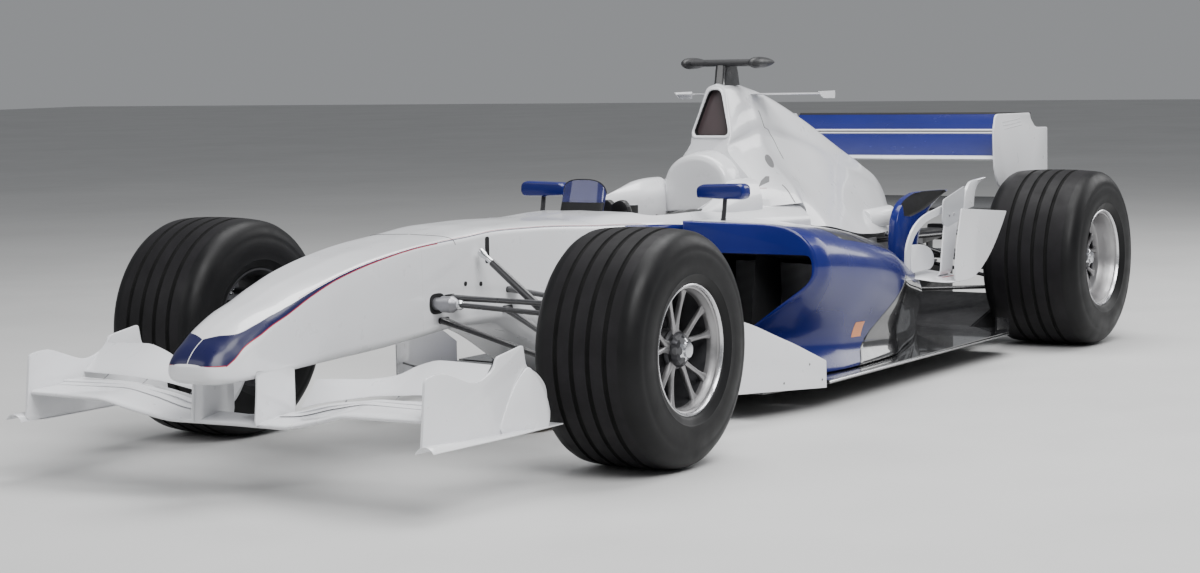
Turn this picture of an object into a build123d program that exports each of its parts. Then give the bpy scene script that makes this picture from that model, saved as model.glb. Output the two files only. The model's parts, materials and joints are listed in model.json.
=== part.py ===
from build123d import *
import math
import os

# Open wheel racing car, millimetres. +X is forwards, +Y is the car's left, +Z is up, and the
# origin is on the ground under the middle of the car's length. The car faces straight ahead.

os.makedirs("parts", exist_ok=True)

# Wheels and axles
FRONT_AXLE_X = 1305
REAR_AXLE_X = -1805
FRONT_TRACK = 1470
REAR_TRACK = 1410
TYRE_RADIUS = 325
FRONT_TYRE_WIDTH = 330
REAR_TYRE_WIDTH = 378
BEAD_RADIUS = 165
RIM_LIP_RADIUS = 177
RIM_WALL = 8
RIM_LIP_THICKNESS = 4
FRONT_LIP_OFFSET = 150
REAR_LIP_OFFSET = 172
SPOKE_PAIRS = 5
SPOKE_WIDTH = 13
SPOKE_DEPTH = 16
SPOKE_PAIR_ANGLE = 28
SPOKE_PHASE = 5
FRONT_FACE_INSET = 42
REAR_FACE_INSET = 75
HUB_RADIUS = 36
HUB_FLANGE_RADIUS = 56
SPINDLE_RADIUS = 22
RUNNING_GAP = 0.05
SEAT_GAP = 0.3
MOVING_GAP = 6
DISC_RADIUS = 128
DISC_THICKNESS = 28
FRONT_DISC_INSET = 4
REAR_DISC_INSET = 24
FRONT_SLEEVE_INNER = -24.7
REAR_SLEEVE_INNER = -126
REAR_UPRIGHT_INSET = 92
REAR_UPRIGHT_HALF = 14

# Front uprights, steering and front suspension
KINGPIN_INSET = 45
KINGPIN_PIN_RADIUS = 7
KINGPIN_RISE = 105
EYE_RADIUS = 14
EYE_HEIGHT = 18
TONGUE_REACH = 40
EAR_THICKNESS = 9
STEER_ARM_LENGTH = 62
STEER_ARM_RISE = 78
RACK_X = 1425
RACK_Z = 433
RACK_RADIUS = 18
RACK_BALL_Y = 230
ARM_CHORD = 52
TRACK_ROD_CHORD = 30
ARM_THICKNESS = 17
PUSHROD_RADIUS = 11

# Tub, nose and cockpit
NOSE_TIP_X = 2305
NOSE_JOINT_X = 1482
BULKHEAD_X = -330
TUB_REAR_X = -640
TUB_WALL = 22
COCKPIT_FRONT_X = 414
COCKPIT_RIM_HALF = 214
DASH_X = 520
DASH_THICKNESS = 24
PYLON_Y = 102
PYLON_THICKNESS = 20
WHEEL_SHAFT_RADIUS = 14
STEERING_WHEEL_X = 325
STEERING_WHEEL_Z = 580
STEERING_WHEEL_HALF = 122
STEERING_WHEEL_HEIGHT = 150
COLUMN_TILT = 7

# Floor and sidepods
INLET_DEPTH = 330
POD_FRONT_SWEEP = 0.27
PLANK_BOTTOM = 18
PLANK_THICKNESS = 10
PLANK_HALF = 150
STEP_BOTTOM = 78
FLOOR_TOP = 90
FLOOR_HALF = 700
FLOOR_REAR_X = -1430
SPLITTER_X = 960

# Wings
FRONT_WING_HALF = 649
FRONT_PLATE_THICKNESS = 8
FOOTPLATE_Z = 162
FOOTPLATE_HALF = 700
REAR_WING_HALF = 500
REAR_PLATE_THICKNESS = 8

# Engine, gearbox and tail
ENGINE_LENGTH = 560
ENGINE_HALF = 245
ENGINE_TOP = 430
GEARBOX_HALF = 92
GEARBOX_REAR_X = -1990
TAIL_X = -2305
OUTPUT_BORE_RADIUS = 30
STARTER_RADIUS = 16
STARTER_DEPTH = 60
STARTER_Z = 316
JACK_PLATE_X = -2130
JACK_PLATE_BOTTOM = 262
JACK_PLATE_THICKNESS = 8
JACK_PLATE_HALF = 62
RAIN_LIGHT_BOTTOM = 338
RAIN_LIGHT_DEPTH = 40

# Worked out from the sizes above
FRONT_WHEEL_Y = FRONT_TRACK / 2
REAR_WHEEL_Y = REAR_TRACK / 2
KINGPIN_Y = FRONT_WHEEL_Y - KINGPIN_INSET
ENGINE_FRONT_X = TUB_REAR_X - SEAT_GAP
ENGINE_REAR_X = ENGINE_FRONT_X - ENGINE_LENGTH
PLANK_TOP = PLANK_BOTTOM + PLANK_THICKNESS
COLUMN_LENGTH = (DASH_X - STEERING_WHEEL_X) / math.cos(math.radians(COLUMN_TILT)) + 60
UPPER_EYE_Z = TYRE_RADIUS + KINGPIN_RISE
LOWER_EYE_Z = TYRE_RADIUS - KINGPIN_RISE
WING_END_Y = FRONT_WING_HALF - FRONT_PLATE_THICKNESS / 2 - SEAT_GAP
SEAT_PAN_Z = FLOOR_TOP + TUB_WALL + SEAT_GAP


def polygon(points):
    """A flat face through 3-D points."""
    return Face(Wire.make_polygon([Vector(*p) for p in points], close=True))


def slab_xz(points, y_low, y_high):
    """An outline in x and z, as thick as the stretch from y_low to y_high."""
    return Solid.extrude(polygon([(x, y_low, z) for x, z in points]), Vector(0, y_high - y_low, 0))


def slab_xy(points, z_low, z_high):
    """An outline in x and y, between two heights."""
    return Solid.extrude(polygon([(x, y, z_low) for x, y in points]), Vector(0, 0, z_high - z_low))


def slab_yz(points, x_low, x_high):
    """An outline in y and z, between two stations."""
    return Solid.extrude(polygon([(x_low, y, z) for y, z in points]), Vector(x_high - x_low, 0, 0))


def block(x_low, x_high, y_low, y_high, z_low, z_high):
    """A plain box between two corners."""
    return Solid.make_box(x_high - x_low, y_high - y_low, z_high - z_low).moved(
        Location((x_low, y_low, z_low)))


def rod(start, end, radius):
    """A round bar between two points."""
    way = Vector(*end) - Vector(*start)
    return Solid.make_cylinder(radius, way.length, Plane(origin=start, z_dir=way))


def blade(start, end, chord, thickness):
    """A flat-sided aerofoil arm between two points, its chord along the car."""
    outline = ((chord / 2, 0), (chord / 4, thickness / 2), (-chord / 3, thickness / 2),
               (-chord / 2, 0), (-chord / 3, -thickness / 2), (chord / 4, -thickness / 2))
    ends = [Wire.make_polygon([Vector(x + a, y, z + b) for a, b in outline], close=True)
            for x, y, z in (start, end)]
    return Solid.make_loft(ends, True)


def skin(outlines):
    """A solid through closed outlines, straight from each one to the next."""
    wires = [Wire.make_polygon([Vector(*p) for p in points], close=True) for points in outlines]
    return Solid.make_loft(wires, True)


def joined(first, *others):
    """One piece of several that meet."""
    result = first.fuse(*others)
    return Compound(result.solids())


def less(base, *tools):
    """A piece with others cut out of it."""
    result = base.cut(*tools)
    return Compound(result.solids())


def flipped(shape):
    """The same shape on the car's other side."""
    return shape.mirror(Plane.XZ)


def pair(shape):
    """A shape and its copy on the car's other side."""
    return Compound(list(shape.solids()) + list(flipped(shape).solids()))


def save(node, shape):
    export_step(shape, "parts/" + node + ".step")


# Tub and nose

# x, floor half, floor z, flank half, flank z, crease half, crease z, deck half, deck z
TUB_SECTIONS = (
    (NOSE_JOINT_X, 118, 340, 139, 356, 140, 592, 112, 604),
    (1300, 124, 352, 152, 372, 154, 606, 120, 619),
    (1138, 130, 348, 168, 374, 170, 618, 130, 630),
    (957, 130, 290, 184, 352, 188, 614, 140, 630),
    (667, 130, 150, 208, 262, 215, 598, 160, 620),
    (310, 190, FLOOR_TOP, 236, 170, 240, 580, 190, 626),
    (0, 215, FLOOR_TOP, 262, 160, 262, 560, 215, 612),
    (TUB_REAR_X, 215, FLOOR_TOP, 262, 160, 262, 540, 215, 590),
)

# x, floor half, floor z, flank half, flank z, crease half, crease z, deck half, deck z
NOSE_SECTIONS = (
    (NOSE_TIP_X, 41, 322, 59, 331, 58, 351, 44, 362),
    (2272, 63, 304, 88, 317, 87, 354, 62, 393),
    (2204, 75, 303, 102, 315, 104, 380, 71, 437),
    (2100, 82, 306, 107, 318, 112, 443, 76, 478),
    (1941, 92, 314, 113, 328, 113, 509, 81, 526),
    (1750, 100, 322, 122, 339, 122, 562, 91, 567),
    (NOSE_JOINT_X + SEAT_GAP, 118, 340, 139, 356, 140, 592, 112, 604),
)


def body_ring(row, inset=0.0):
    """The eight corners of one section of the tub or nose, drawn in by a wall."""
    x, floor_half, floor_z, flank_half, flank_z, crease_half, crease_z, deck_half, deck_z = row
    side = [(floor_half - inset / 2, floor_z + inset), (flank_half - inset, flank_z + inset / 2),
            (crease_half - inset, crease_z - inset / 2), (deck_half - inset / 2, deck_z - inset)]
    left = [(x, y, z) for y, z in side]
    right = [(x, -y, z) for y, z in reversed(side)]
    return left + right


def section_at(rows, x):
    """A section between two rows of a table."""
    for ahead, behind in zip(rows, rows[1:]):
        if ahead[0] >= x >= behind[0]:
            share = (ahead[0] - x) / (ahead[0] - behind[0])
            return (x,) + tuple(a + (b - a) * share for a, b in zip(ahead[1:], behind[1:]))
    raise ValueError("no section there")


def column_point(along):
    """A point on the steering column, forwards of the wheel's centre."""
    slope = math.radians(COLUMN_TILT)
    return (STEERING_WHEEL_X + along * math.cos(slope), 0, STEERING_WHEEL_Z - along * math.sin(slope))


def tub_outside():
    return skin([body_ring(row) for row in TUB_SECTIONS])


def monocoque():
    outside = tub_outside()
    hollow_front = NOSE_JOINT_X - TUB_WALL
    hollow_rear = BULKHEAD_X + TUB_WALL
    inner_rows = [section_at(TUB_SECTIONS, hollow_front)]
    inner_rows += [row for row in TUB_SECTIONS if hollow_rear < row[0] < hollow_front]
    inner_rows += [section_at(TUB_SECTIONS, hollow_rear)]
    inside = skin([body_ring(row, TUB_WALL) for row in inner_rows])
    dash = block(DASH_X, DASH_X + DASH_THICKNESS, -200, 200, 470, 640).intersect(inside)
    shaft_hole = rod(column_point(0), column_point(COLUMN_LENGTH + 50), WHEEL_SHAFT_RADIUS + RUNNING_GAP)
    opening = slab_xy(
        ((COCKPIT_FRONT_X, -160), (COCKPIT_FRONT_X, 160), (366, 200), (200, COCKPIT_RIM_HALF),
         (-110, COCKPIT_RIM_HALF), (-150, 130), (hollow_rear, 120), (hollow_rear, -120), (-150, -130),
         (-110, -COCKPIT_RIM_HALF), (200, -COCKPIT_RIM_HALF), (366, -200)), 500, 700)
    rack_hole = rod((RACK_X, -300, RACK_Z), (RACK_X, 300, RACK_Z), RACK_RADIUS + RUNNING_GAP)
    rocker_slots = [block(1236, 1262, -220, -120, 530, 606), block(1236, 1262, 120, 220, 530, 606)]
    shell = less(outside, inside)
    shell = joined(shell, Compound(dash.solids()))
    return less(shell, opening, rack_hole, shaft_hole, *rocker_slots)


def nose_cone():
    cone = skin([body_ring(row) for row in NOSE_SECTIONS])
    # x and z of a pylon's side view, from the wing up into the nose
    outline = ((2170, 196), (2180, 330), (2012, 340), (2004, 226), (2077, 200))
    pylon = slab_xz(outline, PYLON_Y - PYLON_THICKNESS, PYLON_Y)
    return less(joined(cone, pylon, flipped(pylon)), front_wing_main())


def cockpit_surround():
    """The padded collar beside and behind the driver's head."""
    # x, inner half, outer half, foot z inside the tub's deck, top z
    rows = ((-20, 204, 224, 586, 620), (-120, 200, 230, 586, 644), (-160, 134, 231, 586, 656),
            (-220, 124, 232, 584, 676), (BULKHEAD_X + 30, 118, 232, 580, 688),
            (BULKHEAD_X - 22, 118, 232, 580, 688))
    arm = skin([((x, inner, foot), (x, outer, foot), (x, outer, top - 20), (x, outer - 10, top),
                 (x, inner + 6, top), (x, inner, top - 12)) for x, inner, outer, foot, top in rows])
    back_x = BULKHEAD_X + 30
    arch = [(-118, 580), (118, 580)]
    arch += [(118 * math.cos(math.radians(a)), 668 + 100 * math.sin(math.radians(a)))
             for a in range(0, 181, 20)]
    back = slab_yz(arch, back_x - 52, back_x)
    return less(joined(arm, flipped(arm), back), tub_outside())


def seat():
    """A thin bucket: a raked back, a pan and two side walls."""
    wall = 8
    half = 168
    back_x = BULKHEAD_X + TUB_WALL + 2
    profile = ((back_x + 2, 556), (back_x + 60, 300), (back_x + 150, 124), (back_x + 340, SEAT_PAN_Z),
               (back_x + 600, 200))
    solids = []
    inner = [(x + wall, z + wall) for x, z in reversed(profile)]
    solids.append(slab_xz(list(profile) + inner, -half, half))
    side = ((back_x + 2, 556), (back_x + 60, 300), (back_x + 150, 124), (back_x + 340, SEAT_PAN_Z),
            (back_x + 600, 200), (back_x + 600, 250), (back_x + 330, 250), (back_x + 180, 430),
            (back_x + 90, 540))
    solids.append(slab_xz(side, half - wall, half))
    solids.append(slab_xz(side, -half, -half + wall))
    return joined(*solids)


def windscreen():
    """A low clear deflector in front of the opening."""
    # y, front x, top z
    rows = ((0, 440, 722), (45, 438, 712), (78, 432, 680))
    thick = 4
    foot = 612
    strip = skin([((x, y, foot), (x - thick, y, foot), (x - thick - 26, y, top), (x - 26, y, top))
                  for y, x, top in rows])
    return less(joined(strip, flipped(strip)), tub_outside())


def mirrors():
    housing = slab_yz(((250, 654), (410, 648), (418, 660), (416, 690), (404, 698), (262, 694), (248, 680)),
                      86, 138)
    stem = slab_xz(((142, 560), (118, 560), (104, 652), (122, 652)), 336, 346)
    return pair(less(joined(housing, stem), pod_outside()))


# Floor

def floor():
    half = FLOOR_HALF
    plate = slab_xy(
        ((330, 262), (150, 420), (112, half), (-1336, half), (FLOOR_REAR_X, 655), (-1440, 500),
         (-1476, 497), (-1476, -497), (-1440, -500), (FLOOR_REAR_X, -655), (-1336, -half),
         (112, -half), (150, -420), (330, -262)), STEP_BOTTOM, FLOOR_TOP)
    keel = slab_xy(
        ((SPLITTER_X, 120), (SPLITTER_X - 60, 150), (330, 250), (-1440, 150), (-1476, 140),
         (-1476, -140), (-1440, -150), (330, -250), (SPLITTER_X - 60, -150), (SPLITTER_X, -120)),
        PLANK_TOP, 60)
    core = slab_xy(
        ((700, 130), (330, 245), (-1440, 148), (-1440, -148), (330, -245), (700, -130)), 59, FLOOR_TOP)
    fence_low = FLOOR_TOP - 2
    fence = slab_xz(((-1336, fence_low), (-1336, 140), (FLOOR_REAR_X, 128), (FLOOR_REAR_X, fence_low)), 648, 655)
    fence = fence.rotate(Axis((-1336, 650, 0), (0, 0, 1)), -6)
    return joined(plate, keel, core, fence, flipped(fence))


def plank():
    return slab_xy(((SPLITTER_X - 20, 100), (SPLITTER_X - 60, PLANK_HALF), (-1476, PLANK_HALF),
                    (-1476, -PLANK_HALF), (SPLITTER_X - 60, -PLANK_HALF), (SPLITTER_X - 20, -100)),
                   PLANK_BOTTOM, PLANK_TOP)


def diffuser():
    """A rising roof between the rear wheels with upright fences under it."""
    front_x = -1476 - SEAT_GAP
    half = 494
    side_roof = slab_xz(((front_x, 78), (front_x, FLOOR_TOP), (-1830, 176), (-1830, 166)), 150, half)
    mid_roof = slab_xz(((front_x, PLANK_TOP), (front_x, FLOOR_TOP), (-2090, 262), (-2090, 252)), -150, 150)
    pieces = [mid_roof, side_roof, flipped(side_roof)]
    # fence y, its rear x, its rear top z
    for y, rear_x, top in ((150, -2090, 256), (300, -1830, 170), (half, -1830, 170)):
        fence = slab_xz(((front_x, 60), (front_x, 84), (rear_x, top), (rear_x, top - 120)), y - 3, y + 3)
        pieces += [fence, flipped(fence)]
    return joined(*pieces)


# Sidepods

# x, inner y, foot half, foot z, tuck half, tuck z, belly half, belly z,
# shoulder half, shoulder z, top half, top z, inner z
SIDEPOD_SECTIONS = (
    (262, 266, 420, FLOOR_TOP, 400, 200, 684, 400, 676, 498, 600, 574, 588),
    (110, 266, 590, FLOOR_TOP, 500, 190, 696, 392, 690, 500, 616, 566, 584),
    (-180, 266, 650, FLOOR_TOP, 590, 170, 694, 370, 688, 470, 600, 536, 566),
    (-480, 266, 640, FLOOR_TOP, 600, 160, 670, 330, 662, 420, 570, 486, 530),
    (-760, 266, 560, FLOOR_TOP, 545, 150, 590, 280, 582, 360, 500, 420, 480),
    (-1010, 266, 480, FLOOR_TOP, 470, 140, 510, 240, 500, 312, 430, 366, 430),
    (-1200, 266, 400, FLOOR_TOP, 395, 130, 420, 200, 412, 262, 360, 312, 360),
    (-1420, 150, 300, FLOOR_TOP, 296, 120, 310, 170, 302, 214, 270, 250, 290),
)


def pod_ring(row, sweep):
    """One section of a sidepod, swept back towards its outer side."""
    x, inner, foot, foot_z, tuck, tuck_z, belly, belly_z, shoulder, shoulder_z, top, top_z, inner_z = row
    corners = [(inner, foot_z), (foot, foot_z), (tuck, tuck_z), (belly, belly_z),
               (shoulder, shoulder_z), (top, top_z), (inner, inner_z)]
    return [(x - sweep * (y - inner), y, z) for y, z in corners]


def pod_outside():
    front = pod_ring(SIDEPOD_SECTIONS[0], POD_FRONT_SWEEP)
    return skin([front] + [pod_ring(row, 0) for row in SIDEPOD_SECTIONS[1:]])


def sidepod():
    pod = pod_outside()
    lip_x = SIDEPOD_SECTIONS[0][0]
    # x, inner y, low z, outer low y, outer y, outer z, top z of the duct
    duct_rows = ((lip_x + 10, 290, 222, 440, 664, 404, 488),
                 (lip_x - INLET_DEPTH, 300, 232, 520, 640, 360, 448))
    duct = skin([((x, inner, low), (x, outer_low, low + 20), (x, outer, outer_z), (x, outer - 10, top - 10),
                  (x, inner, top)) for x, inner, low, outer_low, outer, outer_z, top in duct_rows])
    return less(pod, duct)


def radiators():
    """The cores at the back of the two inlets."""
    face_x = SIDEPOD_SECTIONS[0][0] - INLET_DEPTH
    core = slab_yz(((302, 236), (516, 254), (634, 362), (626, 436), (302, 444)),
                   face_x + SEAT_GAP, face_x + 46)
    return pair(less(core, sidepod()))


def chimneys():
    # x and z of the side view, swept back at the top
    outline = ((-900, 360), (-906, 500), (-960, 566), (-1060, 602), (-1340, 596), (-1240, 560),
               (-1150, 510), (-1090, 440), (-1070, 330))
    tower = slab_xz(outline, 414, 474)
    return pair(less(tower, pod_outside()))


def flip_ups():
    """Outboard tail winglets: an upright plate, a turned-up blade and a small vane."""
    plate = slab_xz(((-940, 560), (-1346, 526), (-1300, 470), (-1230, 400), (-1150, 344), (-1054, 312),
                     (-900, 310), (-912, 420)), 684, 690)
    # y and z of the blade's section, outside then inside
    blade_outline = ((478, 326), (560, 318), (640, 306), (688, 308), (688, 316), (640, 314), (560, 326),
                     (486, 336))
    low_blade = slab_yz(blade_outline, -1054, -880)
    vane = slab_xz(((-955, 320), (-948, 400), (-990, 566), (-1030, 570), (-1110, 566), (-1040, 420),
                    (-1035, 320)), 606, 611)
    return pair(less(joined(plate, low_blade, vane), pod_outside()))


def bargeboards():
    # x, y, low z, top z
    rows = ((130, 699, 68, 154), (330, 655, 80, 240), (560, 585, 90, 322), (720, 500, 92, 336),
            (880, 400, 98, 330))
    thick = 5
    board = skin([((x, y, low), (x, y, top), (x, y - thick, top), (x, y - thick, low))
                  for x, y, low, top in rows])
    foot = slab_xy(((131, 698), (420, 628), (420, 217.6), (331, 246), (331, 263), (151, 421)),
                   STEP_BOTTOM, STEP_BOTTOM + 10)
    stay = rod((690, 120, 76), (690, 516, 150), 7)
    return pair(less(joined(board, foot, stay), floor()))


# Engine cover and what stands on it

# x, foot half, foot z, hip half, hip z, waist half, waist z, neck half, neck z, crown half, crown z
COVER_SECTIONS = (
    (-384, 214, 592, 205, 640, 128, 730, 82, 796, 78, 818),
    (-470, 222, 590, 208, 640, 120, 742, 80, 846, 37, 996),
    (-560, 228, 590, 205, 640, 112, 740, 74, 880, 30, 1002),
    (TUB_REAR_X, 236, 590, 200, 640, 104, 740, 68, 890, 25, 990),
    (-773, 262, 500, 190, 612, 96, 720, 56, 860, 20, 962),
    (-1079, 250, 452, 160, 570, 84, 670, 46, 790, 18, 866),
    (-1405, 190, 436, 118, 520, 66, 590, 38, 680, 15, 740),
    (-1640, 120, 434, 84, 480, 52, 540, 32, 600, 12, 650),
    (-1820, 60, 434, 50, 444, 36, 460, 24, 480, 10, 500),
)


def cover_ring(row):
    x, foot, foot_z, hip, hip_z, waist, waist_z, neck, neck_z, crown, crown_z = row
    side = [(foot, foot_z), (hip, hip_z), (waist, waist_z), (neck, neck_z), (crown, crown_z)]
    return [(x, y, z) for y, z in side] + [(x, -y, z) for y, z in reversed(side)]


def engine_cover():
    cover = skin([cover_ring(row) for row in COVER_SECTIONS])
    # x, half width at the foot, low z, half width at the top, top z
    rows = ((-380, 66, 829, 24, 982), (-700, 44, 830, 16, 950))
    inlet = skin([((x, -low_half, low), (x, low_half, low), (x, low_half, low + 60), (x, top_half, top),
                   (x, -top_half, top), (x, -low_half, low + 60)) for x, low_half, low, top_half, top in rows])
    return less(cover, inlet, tub_outside())


def airbox_winglets():
    wing = slab_xy(((-640, 20), (-668, 285), (-785, 285), (-762, 20)), 960, 966)
    tip = slab_xz(((-664, 972), (-790, 972), (-790, 944), (-700, 946)), 282, 286)
    cut = skin([cover_ring(row) for row in COVER_SECTIONS])
    return less(pair(joined(wing, tip)), cut)


def camera_pod():
    stem = slab_xz(((-478, 1000), (-498, 1070), (-560, 1070), (-590, 992)), -16, 16)
    bar = slab_xy(((-500, -120), (-500, 120), (-560, 120), (-575, 0), (-560, -120)), 1064, 1082)
    pods = [Solid.revolve(polygon([(-455, y, 1073), (-462, y, 1086), (-500, y, 1093), (-580, y, 1090),
                                   (-640, y, 1073)]), 360, Axis((0, y, 1073), (1, 0, 0)))
            for y in (-130, 130)]
    cut = skin([cover_ring(row) for row in COVER_SECTIONS])
    return less(joined(stem, bar, *pods), cut)


# Engine, gearbox and tail

def engine():
    return block(ENGINE_REAR_X, ENGINE_FRONT_X, -ENGINE_HALF, ENGINE_HALF, FLOOR_TOP + SEAT_GAP, ENGINE_TOP)


def gearbox():
    front_x = ENGINE_REAR_X - SEAT_GAP
    half = GEARBOX_HALF
    case = skin([((x, -low_half, low), (x, low_half, low), (x, top_half, top), (x, -top_half, top))
                 for x, low_half, low, top_half, top in (
                     (front_x, 180, 110, 150, 420), (front_x - 160, half, 130, half, 400),
                     (REAR_AXLE_X, half, 276, half, 400), (GEARBOX_REAR_X, 70, 290, 70, 390))])
    socket = rod((GEARBOX_REAR_X - 1, 0, STARTER_Z), (GEARBOX_REAR_X + STARTER_DEPTH, 0, STARTER_Z),
                 STARTER_RADIUS)
    output = rod((REAR_AXLE_X, -100, TYRE_RADIUS), (REAR_AXLE_X, 100, TYRE_RADIUS), OUTPUT_BORE_RADIUS)
    return less(case, socket, output)


def crash_structure():
    """The tapered tail with the jacking plate hung under it on two ears."""
    front_x = GEARBOX_REAR_X - SEAT_GAP
    # x, half width, low z, top z
    rows = ((front_x, 60, 336, 390), (-2150, 44, 342, 390), (TAIL_X + RAIN_LIGHT_DEPTH, 36, 346, 390))
    tail = skin([((x, -half, low), (x, half, low), (x, half, top), (x, -half, top))
                 for x, half, low, top in rows])
    plate_top = JACK_PLATE_BOTTOM + JACK_PLATE_THICKNESS
    ear_low = plate_top - 4
    ear = slab_xz(((JACK_PLATE_X - 26, 350), (JACK_PLATE_X - 20, ear_low), (JACK_PLATE_X + 20, ear_low),
                   (JACK_PLATE_X + 26, 350)), 32, 40)
    plate = block(JACK_PLATE_X - 24, JACK_PLATE_X + 24, -JACK_PLATE_HALF, JACK_PLATE_HALF,
                  JACK_PLATE_BOTTOM, plate_top)
    return joined(tail, ear, flipped(ear), plate)


def rain_light():
    return block(TAIL_X, TAIL_X + RAIN_LIGHT_DEPTH - SEAT_GAP, -34, 34, RAIN_LIGHT_BOTTOM, 402)


def exhausts():
    """Two tailpipes that leave the cover's flanks."""
    pipe = rod((-1290, 150, 484), (-1452, 176, 494), 38)
    bore = rod((-1340, 158, 487), (-1468, 178.6, 495), 34)
    cover = skin([cover_ring(row) for row in COVER_SECTIONS])
    return pair(less(less(pipe, bore), cover))


def rear_wing_planes():
    inner = REAR_WING_HALF - REAR_PLATE_THICKNESS / 2 - SEAT_GAP
    main = slab_xz(((-1698, 692), (-1712, 710), (-1800, 726), (-1940, 782), (-1944, 776), (-1830, 706),
                    (-1730, 674), (-1704, 678)), -inner, inner)
    flap = slab_xz(((-1948, 792), (-1958, 804), (-2050, 856), (-2056, 850), (-1990, 796), (-1956, 784)),
                   -inner, inner)
    return Compound([main, flap])


def beam_wing():
    inner = REAR_WING_HALF - REAR_PLATE_THICKNESS / 2 - SEAT_GAP
    plane = slab_xz(((-1960, 480), (-1975, 494), (-2040, 500), (-2120, 526), (-2122, 520), (-2040, 480),
                     (-1980, 468)), -inner, inner)
    mast = slab_xz(((-2010, 390), (-2004, 482), (-2080, 494), (-2090, 390)), -10, 10)
    return joined(plane, mast)


def rear_endplates():
    outline = ((-1675, 801), (-1696, 860), (-2029, 856), (-2039, 834), (-2085, 799), (-2210, 795),
               (-2210, 420), (-2120, 330), (-1960, 330), (-1900, 430), (-1790, 560), (-1720, 594),
               (-1683, 652))
    half = REAR_PLATE_THICKNESS / 2
    return pair(slab_xz(outline, REAR_WING_HALF - half, REAR_WING_HALF + half))


# Front wing

# y, nose x, nose z, slot x, slot z of the main plane
MAIN_PLANE = ((0, 2148, 189, 2072, 202), (173, 2164, 189, 2080, 211), (301, 2186, 212, 2080, 238),
              (411, 2198, 236, 2080, 254), (517, 2200, 238, 2080, 252), (WING_END_Y, 2198, 239, 2080, 250))

# y, first flap front x, z, rear x, z, second flap front x, z, rear x, z
FLAPS = ((150, 2070, 212, 2002, 214, 1996, 222, 1925, 284),
         (260, 2070, 238, 2000, 234, 1993, 242, 1915, 288),
         (350, 2070, 250, 1998, 248, 1991, 256, 1906, 300),
         (430, 2070, 258, 1998, 254, 1990, 262, 1902, 332),
         (490, 2070, 258, 1998, 257, 1990, 265, 1900, 346),
         (WING_END_Y, 2070, 255, 1998, 260, 1990, 268, 1900, 342))


def wing_ring(y, front_x, front_z, rear_x, rear_z, thickness):
    """Six corners of an aerofoil section."""
    mid_x = front_x - 0.35 * (front_x - rear_x)
    mid_z = front_z + 0.35 * (rear_z - front_z)
    return [(front_x, y, front_z), (front_x - 6, y, front_z + thickness * 0.4),
            (mid_x, y, mid_z + thickness * 0.5), (rear_x, y, rear_z + 1.5), (rear_x, y, rear_z - 1.5),
            (mid_x, y, mid_z - thickness * 0.5)]


def front_wing_main():
    rows = [(-y, *rest) for y, *rest in reversed(MAIN_PLANE[1:])] + list(MAIN_PLANE)
    return skin([wing_ring(y, x0, z0, x1, z1, 20) for y, x0, z0, x1, z1 in rows])


def front_wing_flaps():
    first = skin([wing_ring(y, a, b, c, d, 10) for y, a, b, c, d, e, f, g, h in FLAPS])
    second = skin([wing_ring(y, e, f, g, h, 9) for y, a, b, c, d, e, f, g, h in FLAPS])
    return pair(Compound([first, second]))


def front_endplates():
    low_y = FRONT_WING_HALF - FRONT_PLATE_THICKNESS / 2
    high_y = FRONT_WING_HALF + FRONT_PLATE_THICKNESS / 2
    side = slab_xz(((2215, 168), (2195, 342), (2128, 351), (1980, 301), (1898, 329), (1884, 360),
                    (1764, 378), (1752, 320), (1700, 300), (1660, 262), (1646, 160), (2150, 160)),
                   low_y, high_y)
    foot_outline = ((2245, 690), (2245, FOOTPLATE_HALF), (1660, FOOTPLATE_HALF), (1650, low_y), (2212, low_y))
    foot = slab_xy(foot_outline, FOOTPLATE_Z - 2, FOOTPLATE_Z + 4)
    # x, y and z of the vane's top edge, then x and y of its foot
    vane_rows = ((1870, 655, 200, 1860, 656), (1800, 657, 280, 1810, 670), (1752, 660, 318, 1776, 682),
                 (1706, 672, 262, 1742, 692), (1692, 682, 210, 1724, 698))
    vane = skin([((foot_x, foot_y, FOOTPLATE_Z), (x, y, top), (x, y - 4, top), (foot_x, foot_y - 4, FOOTPLATE_Z))
                 for x, y, top, foot_x, foot_y in vane_rows])
    return pair(joined(side, foot, vane))


# Suspension

def kingpin_eye(z):
    """The outer eye of a wishbone with the tongue that its legs run into."""
    low = z - EYE_HEIGHT / 2
    body = Solid.make_cylinder(EYE_RADIUS, EYE_HEIGHT, Plane(origin=(FRONT_AXLE_X, KINGPIN_Y, low)))
    tongue = block(FRONT_AXLE_X - EYE_RADIUS, FRONT_AXLE_X + EYE_RADIUS, KINGPIN_Y - TONGUE_REACH, KINGPIN_Y,
                   low, low + EYE_HEIGHT)
    return joined(body, tongue)


def eye_bore(z):
    return Solid.make_cylinder(KINGPIN_PIN_RADIUS + RUNNING_GAP, 60,
                               Plane(origin=(FRONT_AXLE_X, KINGPIN_Y, z - 30)))


def tub_side_y(x, z):
    """Half width of the tub's flank at a station and height."""
    row = section_at(TUB_SECTIONS, x)
    flank_half, flank_z, crease_half, crease_z = row[3:7]
    share = (z - flank_z) / (crease_z - flank_z)
    return flank_half + (crease_half - flank_half) * share


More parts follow.
